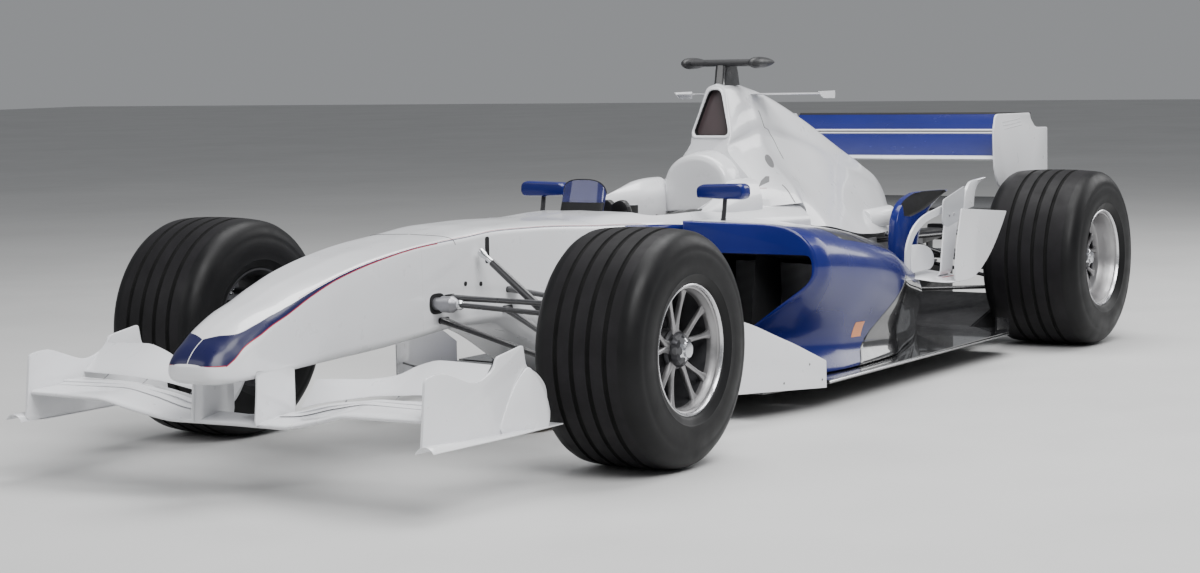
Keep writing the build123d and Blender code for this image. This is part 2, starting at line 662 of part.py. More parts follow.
def front_wishbones():
    solids = []
    # eye z, then x and z of the two inner ends
    for eye_z, ends in ((UPPER_EYE_Z, ((1366, 446), (1092, 446))), (LOWER_EYE_Z, ((1392, 384), (1110, 392)))):
        eye = kingpin_eye(eye_z)
        tip = (FRONT_AXLE_X, KINGPIN_Y - TONGUE_REACH + 8, eye_z)
        legs = [blade((x, tub_side_y(x, z) - 6, z), tip, ARM_CHORD - 14, EYE_HEIGHT - 3) for x, z in ends]
        if eye_z == LOWER_EYE_Z:
            legs.append(rod((1312, 606, 226), (1312, 606, 262), 12))
        solids.append(less(joined(eye, *legs), eye_bore(eye_z), tub_outside()))
    return Compound([s for part in solids for s in pair(part).solids()])


def front_pushrods():
    foot = (1312, 604, 272)
    top = (1249, 170, 568)
    arm = rod(foot, top, PUSHROD_RADIUS)
    return pair(arm)


def steering_rack():
    """The rack with its two track rods, which move with it."""
    bar = rod((RACK_X, -RACK_BALL_Y, RACK_Z), (RACK_X, RACK_BALL_Y, RACK_Z), RACK_RADIUS)
    outer = (FRONT_AXLE_X + STEER_ARM_LENGTH, KINGPIN_Y, TYRE_RADIUS + STEER_ARM_RISE)
    parts = [bar]
    for side in (1, -1):
        ball = Solid.make_sphere(21, Plane(origin=(RACK_X, side * RACK_BALL_Y, RACK_Z)))
        arm = blade((RACK_X - 2, side * (RACK_BALL_Y + 8), RACK_Z),
                    (outer[0], side * (outer[1] - 14), outer[2]), TRACK_ROD_CHORD, 15)
        eye = Solid.make_cylinder(17, 12, Plane(origin=(outer[0], side * outer[1], outer[2] - 6)))
        hole = Solid.make_cylinder(10, 40, Plane(origin=(outer[0], side * outer[1], outer[2] - 20)))
        parts.append(less(joined(arm, eye), hole))
        parts.append(ball)
    return joined(*parts)


def steering_wheel():
    """The butterfly wheel on its shaft."""
    half = STEERING_WHEEL_HALF
    high = STEERING_WHEEL_HEIGHT / 2
    outline = ((-half, 40), (-half + 18, high), (-half + 42, high), (-62, high - 14), (-50, high),
               (50, high), (62, high - 14), (half - 42, high), (half - 18, high), (half, 40), (half, -30),
               (half - 24, -high), (half - 60, -high), (60, -34), (-60, -34), (-half + 60, -high),
               (-half + 24, -high), (-half, -30))
    face = slab_yz(outline, -14, 14).moved(Location((0, 0, 0), (0, 1, 0), COLUMN_TILT))
    face = face.moved(Location((STEERING_WHEEL_X, 0, STEERING_WHEEL_Z)))
    shaft = rod(column_point(0), column_point(COLUMN_LENGTH), WHEEL_SHAFT_RADIUS)
    return joined(face, shaft)


def upright_front(side):
    """Upright, spindle, brake caliper and steering arm, on the kingpin."""
    x = FRONT_AXLE_X
    z = TYRE_RADIUS
    y = KINGPIN_Y
    web = slab_xz(((x - 34, z - 62), (x - 22, z - 132), (x + 22, z - 132), (x + 34, z - 62), (x + 46, z),
                   (x + 34, z + 62), (x + 22, z + 132), (x - 22, z + 132), (x - 34, z + 62), (x - 46, z)),
                  y - 12, y + 12)
    gap = EYE_HEIGHT / 2 + 0.5
    parts = [web]
    for eye_z in (UPPER_EYE_Z, LOWER_EYE_Z):
        back = y + EYE_RADIUS + 1
        low = eye_z - gap - EAR_THICKNESS
        high = eye_z + gap + EAR_THICKNESS
        parts.append(block(x - 24, x + 24, back, back + 5, low, high))
        parts.append(block(x - 24, x + 24, y - 12, back + 5, low, eye_z - gap))
        parts.append(block(x - 24, x + 24, y - 12, back + 5, eye_z + gap, high))
    hub_seat = rod((x, y - 14, z), (x, y + 20, z), 44)
    spindle_end = y + KINGPIN_INSET + FRONT_LIP_OFFSET - FRONT_FACE_INSET - 14
    spindle = rod((x, y + 10, z), (x, spindle_end, z), SPINDLE_RADIUS)
    shape = less(joined(*parts), *[block(x - 60, x + 60, y - 60, y + EYE_RADIUS + 1, e - gap, e + gap)
                                   for e in (UPPER_EYE_Z, LOWER_EYE_Z)])
    pins = [Solid.make_cylinder(KINGPIN_PIN_RADIUS, 2 * gap + 4, Plane(origin=(x, y, e - gap - 2)))
            for e in (UPPER_EYE_Z, LOWER_EYE_Z)]
    arm_z = z + STEER_ARM_RISE
    arm = block(x + 10, x + STEER_ARM_LENGTH + 12, y - 10, y + 10, arm_z - 18, arm_z - 8)
    pin = Solid.make_cylinder(6, 22, Plane(origin=(x + STEER_ARM_LENGTH, y, arm_z - 12)))
    disc_y = FRONT_WHEEL_Y - FRONT_DISC_INSET
    caliper = caliper_block(x, z, disc_y, y)
    whole = joined(shape, hub_seat, spindle, arm, pin, caliper, *pins)
    return whole if side > 0 else flipped(whole)


def caliper_block(x, z, disc_y, carrier_y):
    """The brake caliper behind the axle, with its slot for the disc."""
    reach = DISC_THICKNESS / 2 + MOVING_GAP
    outline = ((x - 88, z - 46), (x - 132, z - 46), (x - 140, z), (x - 132, z + 46), (x - 88, z + 46))
    body = slab_xz(outline, disc_y - reach - 18, disc_y + reach + 12)
    ring = rod((x, disc_y - reach, z), (x, disc_y + reach, z), DISC_RADIUS + 5)
    bracket = block(x - 100, x - 30, carrier_y - 8, carrier_y + 6, z - 24, z + 24)
    neck = block(x - 112, x - 92, carrier_y - 8, disc_y - reach - 4, z - 24, z + 24)
    return joined(less(body, ring), bracket, neck)


def upright_rear(side):
    x = REAR_AXLE_X
    z = TYRE_RADIUS
    y = REAR_WHEEL_Y - REAR_UPRIGHT_INSET
    web = slab_xz(((x - 40, z - 124), (x + 40, z - 124), (x + 60, z), (x + 40, z + 124), (x - 40, z + 124),
                   (x - 90, z + 14), (x - 90, z - 24)), y - REAR_UPRIGHT_HALF, y + REAR_UPRIGHT_HALF)
    sleeve = rod((x, y - 22, z), (x, y + 34, z), 62)
    bore = rod((x, y - 60, z), (x, y + 80, z), HUB_RADIUS + RUNNING_GAP)
    disc_y = REAR_WHEEL_Y - REAR_DISC_INSET
    caliper = caliper_block(x, z, disc_y, y)
    whole = less(joined(web, sleeve, caliper), bore)
    return whole if side > 0 else flipped(whole)


def rear_uprights():
    return Compound(list(upright_rear(1).solids()) + list(upright_rear(-1).solids()))


def rear_wishbones():
    x = REAR_AXLE_X
    y = REAR_WHEEL_Y - REAR_UPRIGHT_INSET - REAR_UPRIGHT_HALF - SEAT_GAP
    arms = []
    # outer x and z, then x, half width and z of each inner end on the gearbox
    for outer_x, outer_z, ends in ((x, 438, ((-1500, 392), (-1800, 392))),
                                   (x + 8, 212, ((-1470, 210), (-1868, 296)))):
        inner = [(ex, GEARBOX_HALF + 6, ez) for ex, ez in ends]
        legs = [blade(end, (outer_x, y, outer_z), ARM_CHORD - 14, ARM_THICKNESS - 3) for end in inner]
        arms.append(joined(*legs))
    toe = blade((-1940, 70, 320), (x - 78, y, 320), 20, 12)
    arms.append(toe)
    case = gearbox()
    return pair(Compound([s for arm in arms for s in less(arm, case).solids()]))


def rear_pushrods():
    low = (REAR_AXLE_X + 30, 560, 234)
    high = (-1540, 110, 420)
    cover = skin([cover_ring(row) for row in COVER_SECTIONS])
    return pair(less(rod(low, high, PUSHROD_RADIUS), gearbox(), cover, rear_wishbones()))


# Wheels

def tyre(half, lip_offset, wheel_x, wheel_y):
    """A hollow ring: crown, shoulders, side walls and beads."""
    radius = TYRE_RADIUS
    seat = BEAD_RADIUS + SEAT_GAP
    lip = RIM_LIP_RADIUS + SEAT_GAP
    bead_y = lip_offset - RIM_LIP_THICKNESS - SEAT_GAP
    # y outwards and radius, from the bead over the crown's middle
    right = [(bead_y - 14, seat), (bead_y, seat), (bead_y, lip), (half - 3, 206), (half, radius - 75),
             (half - 6, radius - 45), (half - 18, radius - 20), (half - 38, radius - 6), (0, radius)]
    left = [(-y, r) for y, r in reversed(right[:-1])]
    under = [(-bead_y + 14, seat + 24), (14 - half, radius - 82), (40 - half, radius - 20),
             (half - 40, radius - 20), (half - 14, radius - 82), (bead_y - 14, seat + 24)]
    points = [(wheel_x, wheel_y + y, TYRE_RADIUS + r) for y, r in right + left + under]
    return Solid.revolve(polygon(points), 360, Axis((wheel_x, 0, TYRE_RADIUS), (0, 1, 0)))


def rim(wheel_x, wheel_y, lip_offset, face_inset, side):
    """Barrel, lips, twin spokes and centre, its open face outwards."""
    seat = BEAD_RADIUS
    wall = RIM_WALL
    face = lip_offset - face_inset
    lip_in = lip_offset - RIM_LIP_THICKNESS
    axis = Axis((wheel_x, 0, TYRE_RADIUS), (0, 1, 0))

    def ring_of(section):
        return Solid.revolve(polygon([(wheel_x, wheel_y + side * y, TYRE_RADIUS + r) for y, r in section]),
                             360, axis)

    # y outwards and radius, round the barrel's section
    section = ((lip_offset, seat + 6), (lip_offset, RIM_LIP_RADIUS), (lip_in, RIM_LIP_RADIUS), (lip_in, seat),
               (-lip_in, seat), (-lip_in, RIM_LIP_RADIUS), (-lip_offset, RIM_LIP_RADIUS),
               (-lip_offset, seat + 6), (-lip_offset + 10, seat - wall), (lip_offset - 12, seat - wall))
    barrel = ring_of(section)
    hole = HUB_RADIUS + SEAT_GAP
    boss = ring_of(((face - SPOKE_DEPTH, hole), (face - SPOKE_DEPTH, HUB_FLANGE_RADIUS),
                    (face, HUB_FLANGE_RADIUS), (face, hole)))
    near = min(wheel_y + side * (face - SPOKE_DEPTH), wheel_y + side * face)
    spokes = []
    for pair_number in range(SPOKE_PAIRS):
        for half_angle in (-SPOKE_PAIR_ANGLE / 2, SPOKE_PAIR_ANGLE / 2):
            bar = block(wheel_x - SPOKE_WIDTH / 2, wheel_x + SPOKE_WIDTH / 2, near + 1, near + SPOKE_DEPTH - 1,
                        TYRE_RADIUS + HUB_FLANGE_RADIUS - 8, TYRE_RADIUS + seat - wall + 3)
            spokes.append(bar.rotate(axis, SPOKE_PHASE + pair_number * 360 / SPOKE_PAIRS + half_angle))
    return joined(boss, *spokes, barrel)


def hub(wheel_x, wheel_y, lip_offset, face_inset, disc_inset, side, sleeve_inner, bore_radius):
    """Hub sleeve with the brake disc, the wheel's seat and the wheel nut."""
    face = lip_offset - face_inset
    seat = face - SPOKE_DEPTH - SEAT_GAP
    disc_in = -disc_inset - DISC_THICKNESS / 2
    disc_out = -disc_inset + DISC_THICKNESS / 2
    # y outwards and radius, round the section from the inner end to the nut
    section = [(sleeve_inner, bore_radius), (sleeve_inner, HUB_RADIUS), (disc_in + 8, HUB_RADIUS),
               (disc_in + 8, 60), (disc_in, 60), (disc_in, DISC_RADIUS), (disc_out, DISC_RADIUS),
               (disc_out, 60),
               (seat - 10, HUB_FLANGE_RADIUS - 6), (seat, HUB_FLANGE_RADIUS - 6), (seat, HUB_RADIUS),
               (face + SEAT_GAP, HUB_RADIUS), (face + SEAT_GAP, 46), (face + 18, 40), (face + 30, 22),
               (face + 36, 0)]
    if bore_radius > 0:
        section += [(face - 10, 0), (face - 10, bore_radius)]
    points = [(wheel_x, wheel_y + side * y, TYRE_RADIUS + r) for y, r in section]
    return Solid.revolve(polygon(points), 360, Axis((wheel_x, 0, TYRE_RADIUS), (0, 1, 0)))


def driveshaft(side):
    """The half shaft from the gearbox to the hub, which turns with its wheel."""
    x = REAR_AXLE_X
    inner = side * 66
    outer = side * (REAR_WHEEL_Y + REAR_SLEEVE_INNER - SEAT_GAP)
    shaft = rod((x, inner, TYRE_RADIUS), (x, outer, TYRE_RADIUS), 19)
    joint_in = rod((x, side * 70, TYRE_RADIUS), (x, side * 140, TYRE_RADIUS), OUTPUT_BORE_RADIUS - RUNNING_GAP)
    joint_out = rod((x, side * (REAR_WHEEL_Y - 190), TYRE_RADIUS), (x, outer, TYRE_RADIUS), 34)
    return joined(shaft, joint_in, joint_out)


def save_wheels():
    for word, side in (("left", 1), ("right", -1)):
        front_y = side * FRONT_WHEEL_Y
        rear_y = side * REAR_WHEEL_Y
        save("tyre_front_" + word, tyre(FRONT_TYRE_WIDTH / 2, FRONT_LIP_OFFSET, FRONT_AXLE_X, front_y))
        save("tyre_rear_" + word, tyre(REAR_TYRE_WIDTH / 2, REAR_LIP_OFFSET, REAR_AXLE_X, rear_y))
        save("rim_front_" + word, rim(FRONT_AXLE_X, front_y, FRONT_LIP_OFFSET, FRONT_FACE_INSET, side))
        save("rim_rear_" + word, rim(REAR_AXLE_X, rear_y, REAR_LIP_OFFSET, REAR_FACE_INSET, side))
        save("hub_front_" + word, hub(FRONT_AXLE_X, front_y, FRONT_LIP_OFFSET, FRONT_FACE_INSET,
                                      FRONT_DISC_INSET, side, FRONT_SLEEVE_INNER,
                                      SPINDLE_RADIUS + RUNNING_GAP))
        save("hub_rear_" + word, hub(REAR_AXLE_X, rear_y, REAR_LIP_OFFSET, REAR_FACE_INSET,
                                     REAR_DISC_INSET, side, REAR_SLEEVE_INNER, 0))
        save("driveshaft_" + word, driveshaft(side))
        save("upright_front_" + word, upright_front(side))


def save_body():
    save("monocoque", monocoque())
    save("nose_cone", nose_cone())
    save("cockpit_surround", cockpit_surround())
    save("seat", seat())
    save("windscreen", windscreen())
    save("mirrors", mirrors())
    save("floor", floor())
    save("plank", plank())
    save("diffuser", diffuser())
    pod = sidepod()
    save("sidepod_left", pod)
    save("sidepod_right", flipped(pod))
    save("radiators", radiators())
    save("chimneys", chimneys())
    save("flip_ups", flip_ups())
    save("bargeboards", bargeboards())
    save("engine_cover", engine_cover())
    save("airbox_winglets", airbox_winglets())
    save("camera_pod", camera_pod())
    save("engine", engine())
    save("gearbox", gearbox())
    save("crash_structure", crash_structure())
    save("rain_light", rain_light())
    save("exhausts", exhausts())
    save("rear_wing_planes", rear_wing_planes())
    save("beam_wing", beam_wing())
    save("rear_endplates", rear_endplates())
    save("front_wing_main", front_wing_main())
    save("front_wing_flaps", front_wing_flaps())
    save("front_endplates", front_endplates())


def save_suspension():
    save("front_wishbones", front_wishbones())
    save("front_pushrods", front_pushrods())
    save("steering_rack", steering_rack())
    save("steering_wheel", steering_wheel())
    save("rear_wishbones", rear_wishbones())
    save("rear_pushrods", rear_pushrods())
    save("rear_uprights", rear_uprights())


save_wheels()
save_body()
save_suspension()
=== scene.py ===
import json
import math

import bmesh
import bpy
import numpy as np
from mathutils import Matrix, Vector

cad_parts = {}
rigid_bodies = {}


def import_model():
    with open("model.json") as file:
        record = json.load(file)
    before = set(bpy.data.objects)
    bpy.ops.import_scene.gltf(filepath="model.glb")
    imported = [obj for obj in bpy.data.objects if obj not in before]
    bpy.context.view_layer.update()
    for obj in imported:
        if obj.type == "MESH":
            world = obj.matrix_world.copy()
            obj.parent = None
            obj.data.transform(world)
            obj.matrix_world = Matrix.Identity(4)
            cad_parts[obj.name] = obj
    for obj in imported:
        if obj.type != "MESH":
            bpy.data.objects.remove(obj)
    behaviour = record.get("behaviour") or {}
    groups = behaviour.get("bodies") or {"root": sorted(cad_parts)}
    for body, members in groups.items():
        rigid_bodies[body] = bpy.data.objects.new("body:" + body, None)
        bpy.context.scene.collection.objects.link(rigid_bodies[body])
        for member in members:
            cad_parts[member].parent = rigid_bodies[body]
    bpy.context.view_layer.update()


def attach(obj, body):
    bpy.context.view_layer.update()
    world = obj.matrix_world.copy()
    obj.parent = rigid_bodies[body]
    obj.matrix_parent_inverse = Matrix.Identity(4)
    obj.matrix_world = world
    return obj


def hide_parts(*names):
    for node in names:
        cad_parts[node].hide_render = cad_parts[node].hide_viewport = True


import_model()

# Sizes are in millimetres in the car's frame. mesh_object() turns them into Blender's metres.
MM = 0.001
# Points closer than this, in metres, become one
WELD = 2e-5
FRONT_AXLE_X = 1305
REAR_AXLE_X = -1805
FRONT_WHEEL_Y = 735
REAR_WHEEL_Y = 705
TYRE_RADIUS = 325
COLUMN_TILT = math.radians(7)
SIDES = (("left", 1), ("right", -1))


# Curves and sections

# The least half thickness of a wing section away from its nose
THINNEST = 0.7


def pchip(xs, ys, at):
    """Smooth interpolation through points without overshoot. xs rise."""
    xs = np.asarray(xs, float)
    ys = np.asarray(ys, float)
    at = np.clip(np.asarray(at, float), xs[0], xs[-1])
    h = np.diff(xs)
    d = np.diff(ys) / h
    m = np.zeros(len(xs))
    m[0] = d[0]
    m[-1] = d[-1]
    for i in range(1, len(xs) - 1):
        if d[i - 1] * d[i] > 0:
            w1 = 2 * h[i] + h[i - 1]
            w2 = h[i] + 2 * h[i - 1]
            m[i] = (w1 + w2) / (w1 / d[i - 1] + w2 / d[i])
    k = np.clip(np.searchsorted(xs, at, side="right") - 1, 0, len(xs) - 2)
    t = (at - xs[k]) / h[k]
    return ((2 * t ** 3 - 3 * t ** 2 + 1) * ys[k] + (t ** 3 - 2 * t ** 2 + t) * h[k] * m[k]
            + (-2 * t ** 3 + 3 * t ** 2) * ys[k + 1] + (t ** 3 - t ** 2) * h[k] * m[k + 1])


def between(rows, at):
    """A table's row at one station. The rows run from high to low in their first column."""
    table = np.array(rows, float)[::-1]
    return [float(pchip(table[:, 0], table[:, c], at)) for c in range(1, table.shape[1])]


def along(points, steps):
    """Points evenly along a smooth curve through a few 3-D points."""
    p = np.array(points, float)
    u = np.concatenate([[0], np.cumsum(np.linalg.norm(np.diff(p, axis=0), axis=1))])
    at = np.linspace(0, u[-1], steps)
    return np.stack([pchip(u, p[:, c], at) for c in range(p.shape[1])], axis=1)


def profile_point(corners, reach, s):
    """A point on a polyline with eased corners. s counts corners: 2 is the middle of corner 2."""
    n = len(corners) - 1
    k = min(int(s), n - 1)
    f = s - k
    a = np.array(corners[k], float)
    b = np.array(corners[k + 1], float)
    length = max(np.linalg.norm(b - a), 1e-6)
    way = (b - a) / length
    ease_a = min(reach[k], 0.46 * length) if k > 0 else 0
    ease_b = min(reach[k + 1], 0.46 * length) if k + 1 < n else 0
    start = a + way * ease_a
    end = b - way * ease_b
    if f < 0.3 and ease_a > 0:
        before = np.array(corners[k - 1], float)
        gap = max(np.linalg.norm(a - before), 1e-6)
        entry = a - (a - before) / gap * min(reach[k], 0.46 * gap)
        t = 0.5 + f / 0.3 * 0.5
        return (1 - t) ** 2 * entry + 2 * t * (1 - t) * a + t * t * start
    if f > 0.7 and ease_b > 0:
        after = np.array(corners[k + 2], float)
        gap = max(np.linalg.norm(after - b), 1e-6)
        leave = b + (after - b) / gap * min(reach[k + 1], 0.46 * gap)
        t = (f - 0.7) / 0.3 * 0.5
        return (1 - t) ** 2 * end + 2 * t * (1 - t) * b + t * t * leave
    low = 0.3 if ease_a > 0 else 0.0
    high = 0.7 if ease_b > 0 else 1.0
    t = (f - low) / (high - low)
    return start + (end - start) * t


def profile(corners, reach, per=6):
    """An eased polyline as an array of points."""
    n = len(corners) - 1
    steps = []
    for k in range(n):
        steps += [k + i / per for i in range(per)]
    steps.append(n - 1e-9)
    return np.array([profile_point(corners, reach, s) for s in steps])


def loop(corners, reach, per=5):
    """A closed outline with eased corners."""
    c = [np.array(p, float) for p in corners]
    n = len(c)
    out = []
    for k in range(n):
        before, here, after = c[k - 1], c[k], c[(k + 1) % n]
        ease = reach[k] if hasattr(reach, "__len__") else reach
        a = np.linalg.norm(here - before)
        b = np.linalg.norm(after - here)
        entry = here + (before - here) / a * min(ease, 0.48 * a)
        leave = here + (after - here) / b * min(ease, 0.48 * b)
        for i in range(per + 1):
            t = i / per
            out.append((1 - t) ** 2 * entry + 2 * t * (1 - t) * here + t * t * leave)
    return np.array(out)


def foil(front, rear, thickness, camber, count=15):
    """A wing section in x and z, its camber pushed down, from the tail over the top and back."""
    front = np.array(front, float)
    rear = np.array(rear, float)
    way = rear - front
    chord = np.linalg.norm(way)
    way = way / chord
    up = np.array([-way[1], way[0]])
    if up[1] < 0:
        up = -up
    s = 0.5 * (1 - np.cos(np.linspace(0, math.pi, count)))
    thick = 5 * (0.2969 * np.sqrt(s) - 0.126 * s - 0.3516 * s ** 2 + 0.2843 * s ** 3
                 - 0.1016 * s ** 4)
    half = np.maximum(thickness * thick, THINNEST)
    half[0] = 0
    line = -camber * 4 * s * (1 - s)
    top = [front + way * chord * a + up * (c + h) for a, c, h in zip(s, line, half)]
    low = [front + way * chord * a + up * (c - h) for a, c, h in zip(s, line, half)]
    return np.array(top[::-1] + low[1:])


# Meshes


def mesh_object(name, part, mats, kinds=None):
    """A closed-up mesh object from a part: points in millimetres and faces."""
    verts, faces = part
    mesh = bpy.data.meshes.new(name)
    mesh.from_pydata([tuple(v) for v in np.asarray(verts, float) * MM], [],
                     [tuple(f) for f in faces])
    for mat in mats if isinstance(mats, (list, tuple)) else [mats]:
        mesh.materials.append(mat)
    if kinds is not None:
        mesh.polygons.foreach_set("material_index", np.asarray(kinds, np.int32))
    bm = bmesh.new()
    bm.from_mesh(mesh)
    bmesh.ops.remove_doubles(bm, verts=bm.verts, dist=WELD)
    bmesh.ops.recalc_face_normals(bm, faces=bm.faces)
    bm.to_mesh(mesh)
    bm.free()
    obj = bpy.data.objects.new(name, mesh)
    bpy.context.scene.collection.objects.link(obj)
    return obj


def mesh_piece(name, part, slot, mats, kinds=None, body="chassis", sharp=35, replaces=()):
    """A visible piece that rides on a CAD body. kinds gives each face's material number."""
    obj = mesh_object(name, part, mats, kinds)
    smooth(obj, sharp)
    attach(obj, body)
    if replaces:
        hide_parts(*replaces)
    return obj


def smooth(obj, sharp):
    """Smooth shading with edges above an angle left crisp."""
    bm = bmesh.new()
    bm.from_mesh(obj.data)
    limit = math.radians(sharp)
    for f in bm.faces:
        f.smooth = True
    for e in bm.edges:
        e.smooth = len(e.link_faces) == 2 and e.calc_face_angle(0) < limit
    bm.to_mesh(obj.data)
    bm.free()


def apply(obj, *modifiers):
    """Applies modifiers given as (type, settings) in turn."""
    for kind, settings in modifiers:
        m = obj.modifiers.new(kind.lower(), kind)
        for key, value in settings.items():
            setattr(m, key, value)
    bpy.context.view_layer.update()
    graph = bpy.context.evaluated_depsgraph_get()
    done = bpy.data.meshes.new_from_object(obj.evaluated_get(graph), preserve_all_data_layers=True,
                                           depsgraph=graph)
    obj.modifiers.clear()
    obj.data = done
    return obj


def grid_faces(rows, cols, closed):
    """Quads between rows of points."""
    faces = []
    span = cols if closed else cols - 1
    for r in range(rows - 1):
        for c in range(span):
            d = (c + 1) % cols
            faces.append((r * cols + c, r * cols + d, (r + 1) * cols + d, (r + 1) * cols + c))
    return faces


def lofted(rings, closed=True, caps=True):
    """Points and faces through rings of equal count."""
    rings = [np.asarray(r, float) for r in rings]
    cols = len(rings[0])
    verts = np.concatenate(rings)
    faces = grid_faces(len(rings), cols, closed)
    if caps:
        faces.append(tuple(range(cols)))
        faces.append(tuple(range(len(verts) - cols, len(verts))))
    return verts, faces


def merged(parts):
    """Several (points, faces) as one."""
    verts = []
    faces = []
    start = 0
    for v, f in parts:
        verts.append(np.asarray(v, float))
        faces += [tuple(i + start for i in face) for face in f]
        start += len(v)
    return np.concatenate(verts), faces


def mirrored(part):
    """A part's twin on the other side of the car."""
    v, f = part
    v = np.array(v, float)
    v[:, 1] *= -1
    return v, [tuple(reversed(face)) for face in f]


def both(part):
    """A part with its twin on the other side of the car."""
    return merged([part, mirrored(part)])


def grouped_piece(name, groups, slot, mats, **more):
    """A piece from pairs of a material number and a part."""
    kinds = [kind for kind, part in groups for _ in part[1]]
    return mesh_piece(name, merged([part for _, part in groups]), slot, mats, kinds, **more)


def slab(outline, low, high, axis="y"):
    """A flat outline pushed along Y or Z. The outline is in the other two axes, in order."""
    if axis == "y":
        return lofted([[(a, t, b) for a, b in outline] for t in (low, high)])
    return lofted([[(a, b, t) for a, b in outline] for t in (low, high)])


def bevelled(obj, width, segments=2):
    """Rounds a piece's sharp edges."""
    apply(obj, ("BEVEL", {"width": width * MM, "segments": segments, "limit_method": "ANGLE",
                          "angle_limit": math.radians(35), "harden_normals": False}))
    smooth(obj, 50)
    return obj


def tube_part(points, radii, around=14, flat=1.0, lift=(0, 0, 1)):
    """A round or flattened bar through points. flat is thickness over width."""
    p = np.asarray(points, float)
    rings = []
    for i, here in enumerate(p):
        way = p[min(i + 1, len(p) - 1)] - p[max(i - 1, 0)]
        way = way / np.linalg.norm(way)
        side = np.cross(way, lift)
        side = side / max(np.linalg.norm(side), 1e-9)
        up = np.cross(side, way)
        r = radii[i] if hasattr(radii, "__len__") else radii
        rings.append([here + side * r * math.cos(a) + up * r * flat * math.sin(a)
                      for a in np.linspace(0, 2 * math.pi, around, endpoint=False)])
    return lofted(rings)


def arm_part(start, end, chord, thickness, stations=9, swell=0.0):
    """A suspension arm of aerofoil section between two points, its chord along the car."""
    start = np.array(start, float)
    end = np.array(end, float)
    shape = foil((chord * 0.45, 0), (-chord * 0.55, 0), thickness, 0, 10)
    rings = []
    for t in np.linspace(0, 1, stations):
        size = 1 + swell * (2 * t - 1) ** 4
        here = start + (end - start) * t
        rings.append([(here[0] + a * size, here[1], here[2] + b * size) for a, b in shape])
    return lofted(rings)


def lathe_part(section, centre, axis="y", steps=72, side=1):
    """A section of (offset along the axis, radius) turned about the axis through a centre."""
    rings = []
    for a in np.linspace(0, 2 * math.pi, steps, endpoint=False):
        c, s = math.cos(a), math.sin(a)
        if axis == "y":
            rings.append([(centre[0] + r * s, centre[1] + side * o, centre[2] + r * c)
                          for o, r in section])
        elif axis == "x":
            rings.append([(centre[0] + side * o, centre[1] + r * s, centre[2] + r * c)
                          for o, r in section])
        else:
            rings.append([(centre[0] + r * s, centre[1] + r * c, centre[2] + side * o)
                          for o, r in section])
    cols = len(section)
    verts = np.concatenate([np.array(r) for r in rings])
    faces = []
    for i in range(steps):
        j = (i + 1) % steps
        for c in range(cols - 1):
            faces.append((i * cols + c, i * cols + c + 1, j * cols + c + 1, j * cols + c))
    return verts, faces


def ball_part(centre, radius):
    section = [(-radius * math.cos(a), max(radius * math.sin(a), 0.01))
               for a in np.linspace(0, math.pi, 10)]
    return moved(lathe_part(section, (0, 0, 0), "z", 16), centre)


def turned(part, angle):
    """A part turned about the car's Y axis through the origin, positive by the right-hand rule."""
    return np.asarray(part[0], float) @ np.array(Matrix.Rotation(angle, 3, "Y")).T, part[1]


def moved(part, by):
    """A part shifted by a vector."""
    return np.asarray(part[0], float) + np.array(by, float), part[1]


def cut(obj, rings, mat, sharp):
    """Cuts a closed loft out of a piece and lines the cut walls with a material."""
    tool = mesh_object("cutter", lofted(rings), mat)
    apply(obj, ("BOOLEAN", {"operation": "DIFFERENCE", "object": tool, "solver": "EXACT",
                            "material_mode": "TRANSFER"}))
    bpy.data.objects.remove(tool)
    smooth(obj, sharp)


# Materials


def material(name):
    mat = bpy.data.materials.new(name)
    mat.use_nodes = True
    tree = mat.node_tree
    return mat, tree, tree.nodes["Principled BSDF"]


def node(tree, kind, **values):
    n = tree.nodes.new(kind)
    for key, value in values.items():
        if key in n.inputs:
            n.inputs[key].default_value = value
        else:
            setattr(n, key, value)
    return n


def coords(tree, scale):
    """Object coordinates, so that a pattern stays on its piece."""
    where = tree.nodes.new("ShaderNodeTexCoord")
    mapping = node(tree, "ShaderNodeMapping")
    mapping.inputs["Scale"].default_value = scale if hasattr(scale, "__len__") else (scale,) * 3
    tree.links.new(where.outputs["Object"], mapping.inputs["Vector"])
    return mapping.outputs["Vector"]


def noise(tree, scale, detail=3.0, rough=0.5, stretch=1.0):
    n = node(tree, "ShaderNodeTexNoise", Scale=scale, Detail=detail, Roughness=rough)
    tree.links.new(coords(tree, stretch), n.inputs["Vector"])
    return n.outputs["Fac"]


def drive(tree, shader, socket, source, low, high, at=(0.3, 0.7)):
    """Runs a shader's socket between two colours or numbers along a pattern."""
    r = tree.nodes.new("ShaderNodeValToRGB")
    for element, value, place in zip(r.color_ramp.elements, (low, high), at):
        element.color = (*value, 1) if hasattr(value, "__len__") else (value, value, value, 1)
        element.position = place
    tree.links.new(source, r.inputs["Fac"])
    tree.links.new(r.outputs["Color"], shader.inputs[socket])


def bump(tree, shader, source, strength, distance):
    b = node(tree, "ShaderNodeBump", Strength=strength, Distance=distance)
    tree.links.new(source, b.inputs["Height"])
    tree.links.new(b.outputs["Normal"], shader.inputs["Normal"])


def shade(color, amount):
    return tuple(min(c * amount, 1) for c in color)


def paint(name, color, rough=0.28, metallic=0.0, coat=0.8, spread=0.05):
    """Lacquered paint: a faint cloud of colour, polish marks and a little orange peel."""
    mat, tree, s = material(name)
    s.inputs["Metallic"].default_value = metallic
    s.inputs["Coat Weight"].default_value = coat
    s.inputs["Coat Roughness"].default_value = 0.06
    s.inputs["Specular IOR Level"].default_value = 0.35
    drive(tree, s, "Base Color", noise(tree, 3.0, 4.0), shade(color, 1 - spread),
          shade(color, 1 + spread))
    drive(tree, s, "Roughness", noise(tree, 14.0, 4.0), rough * 0.88, rough * 1.15)
    bump(tree, s, noise(tree, 220.0, 2.0), 0.006, 0.0003)
    return mat


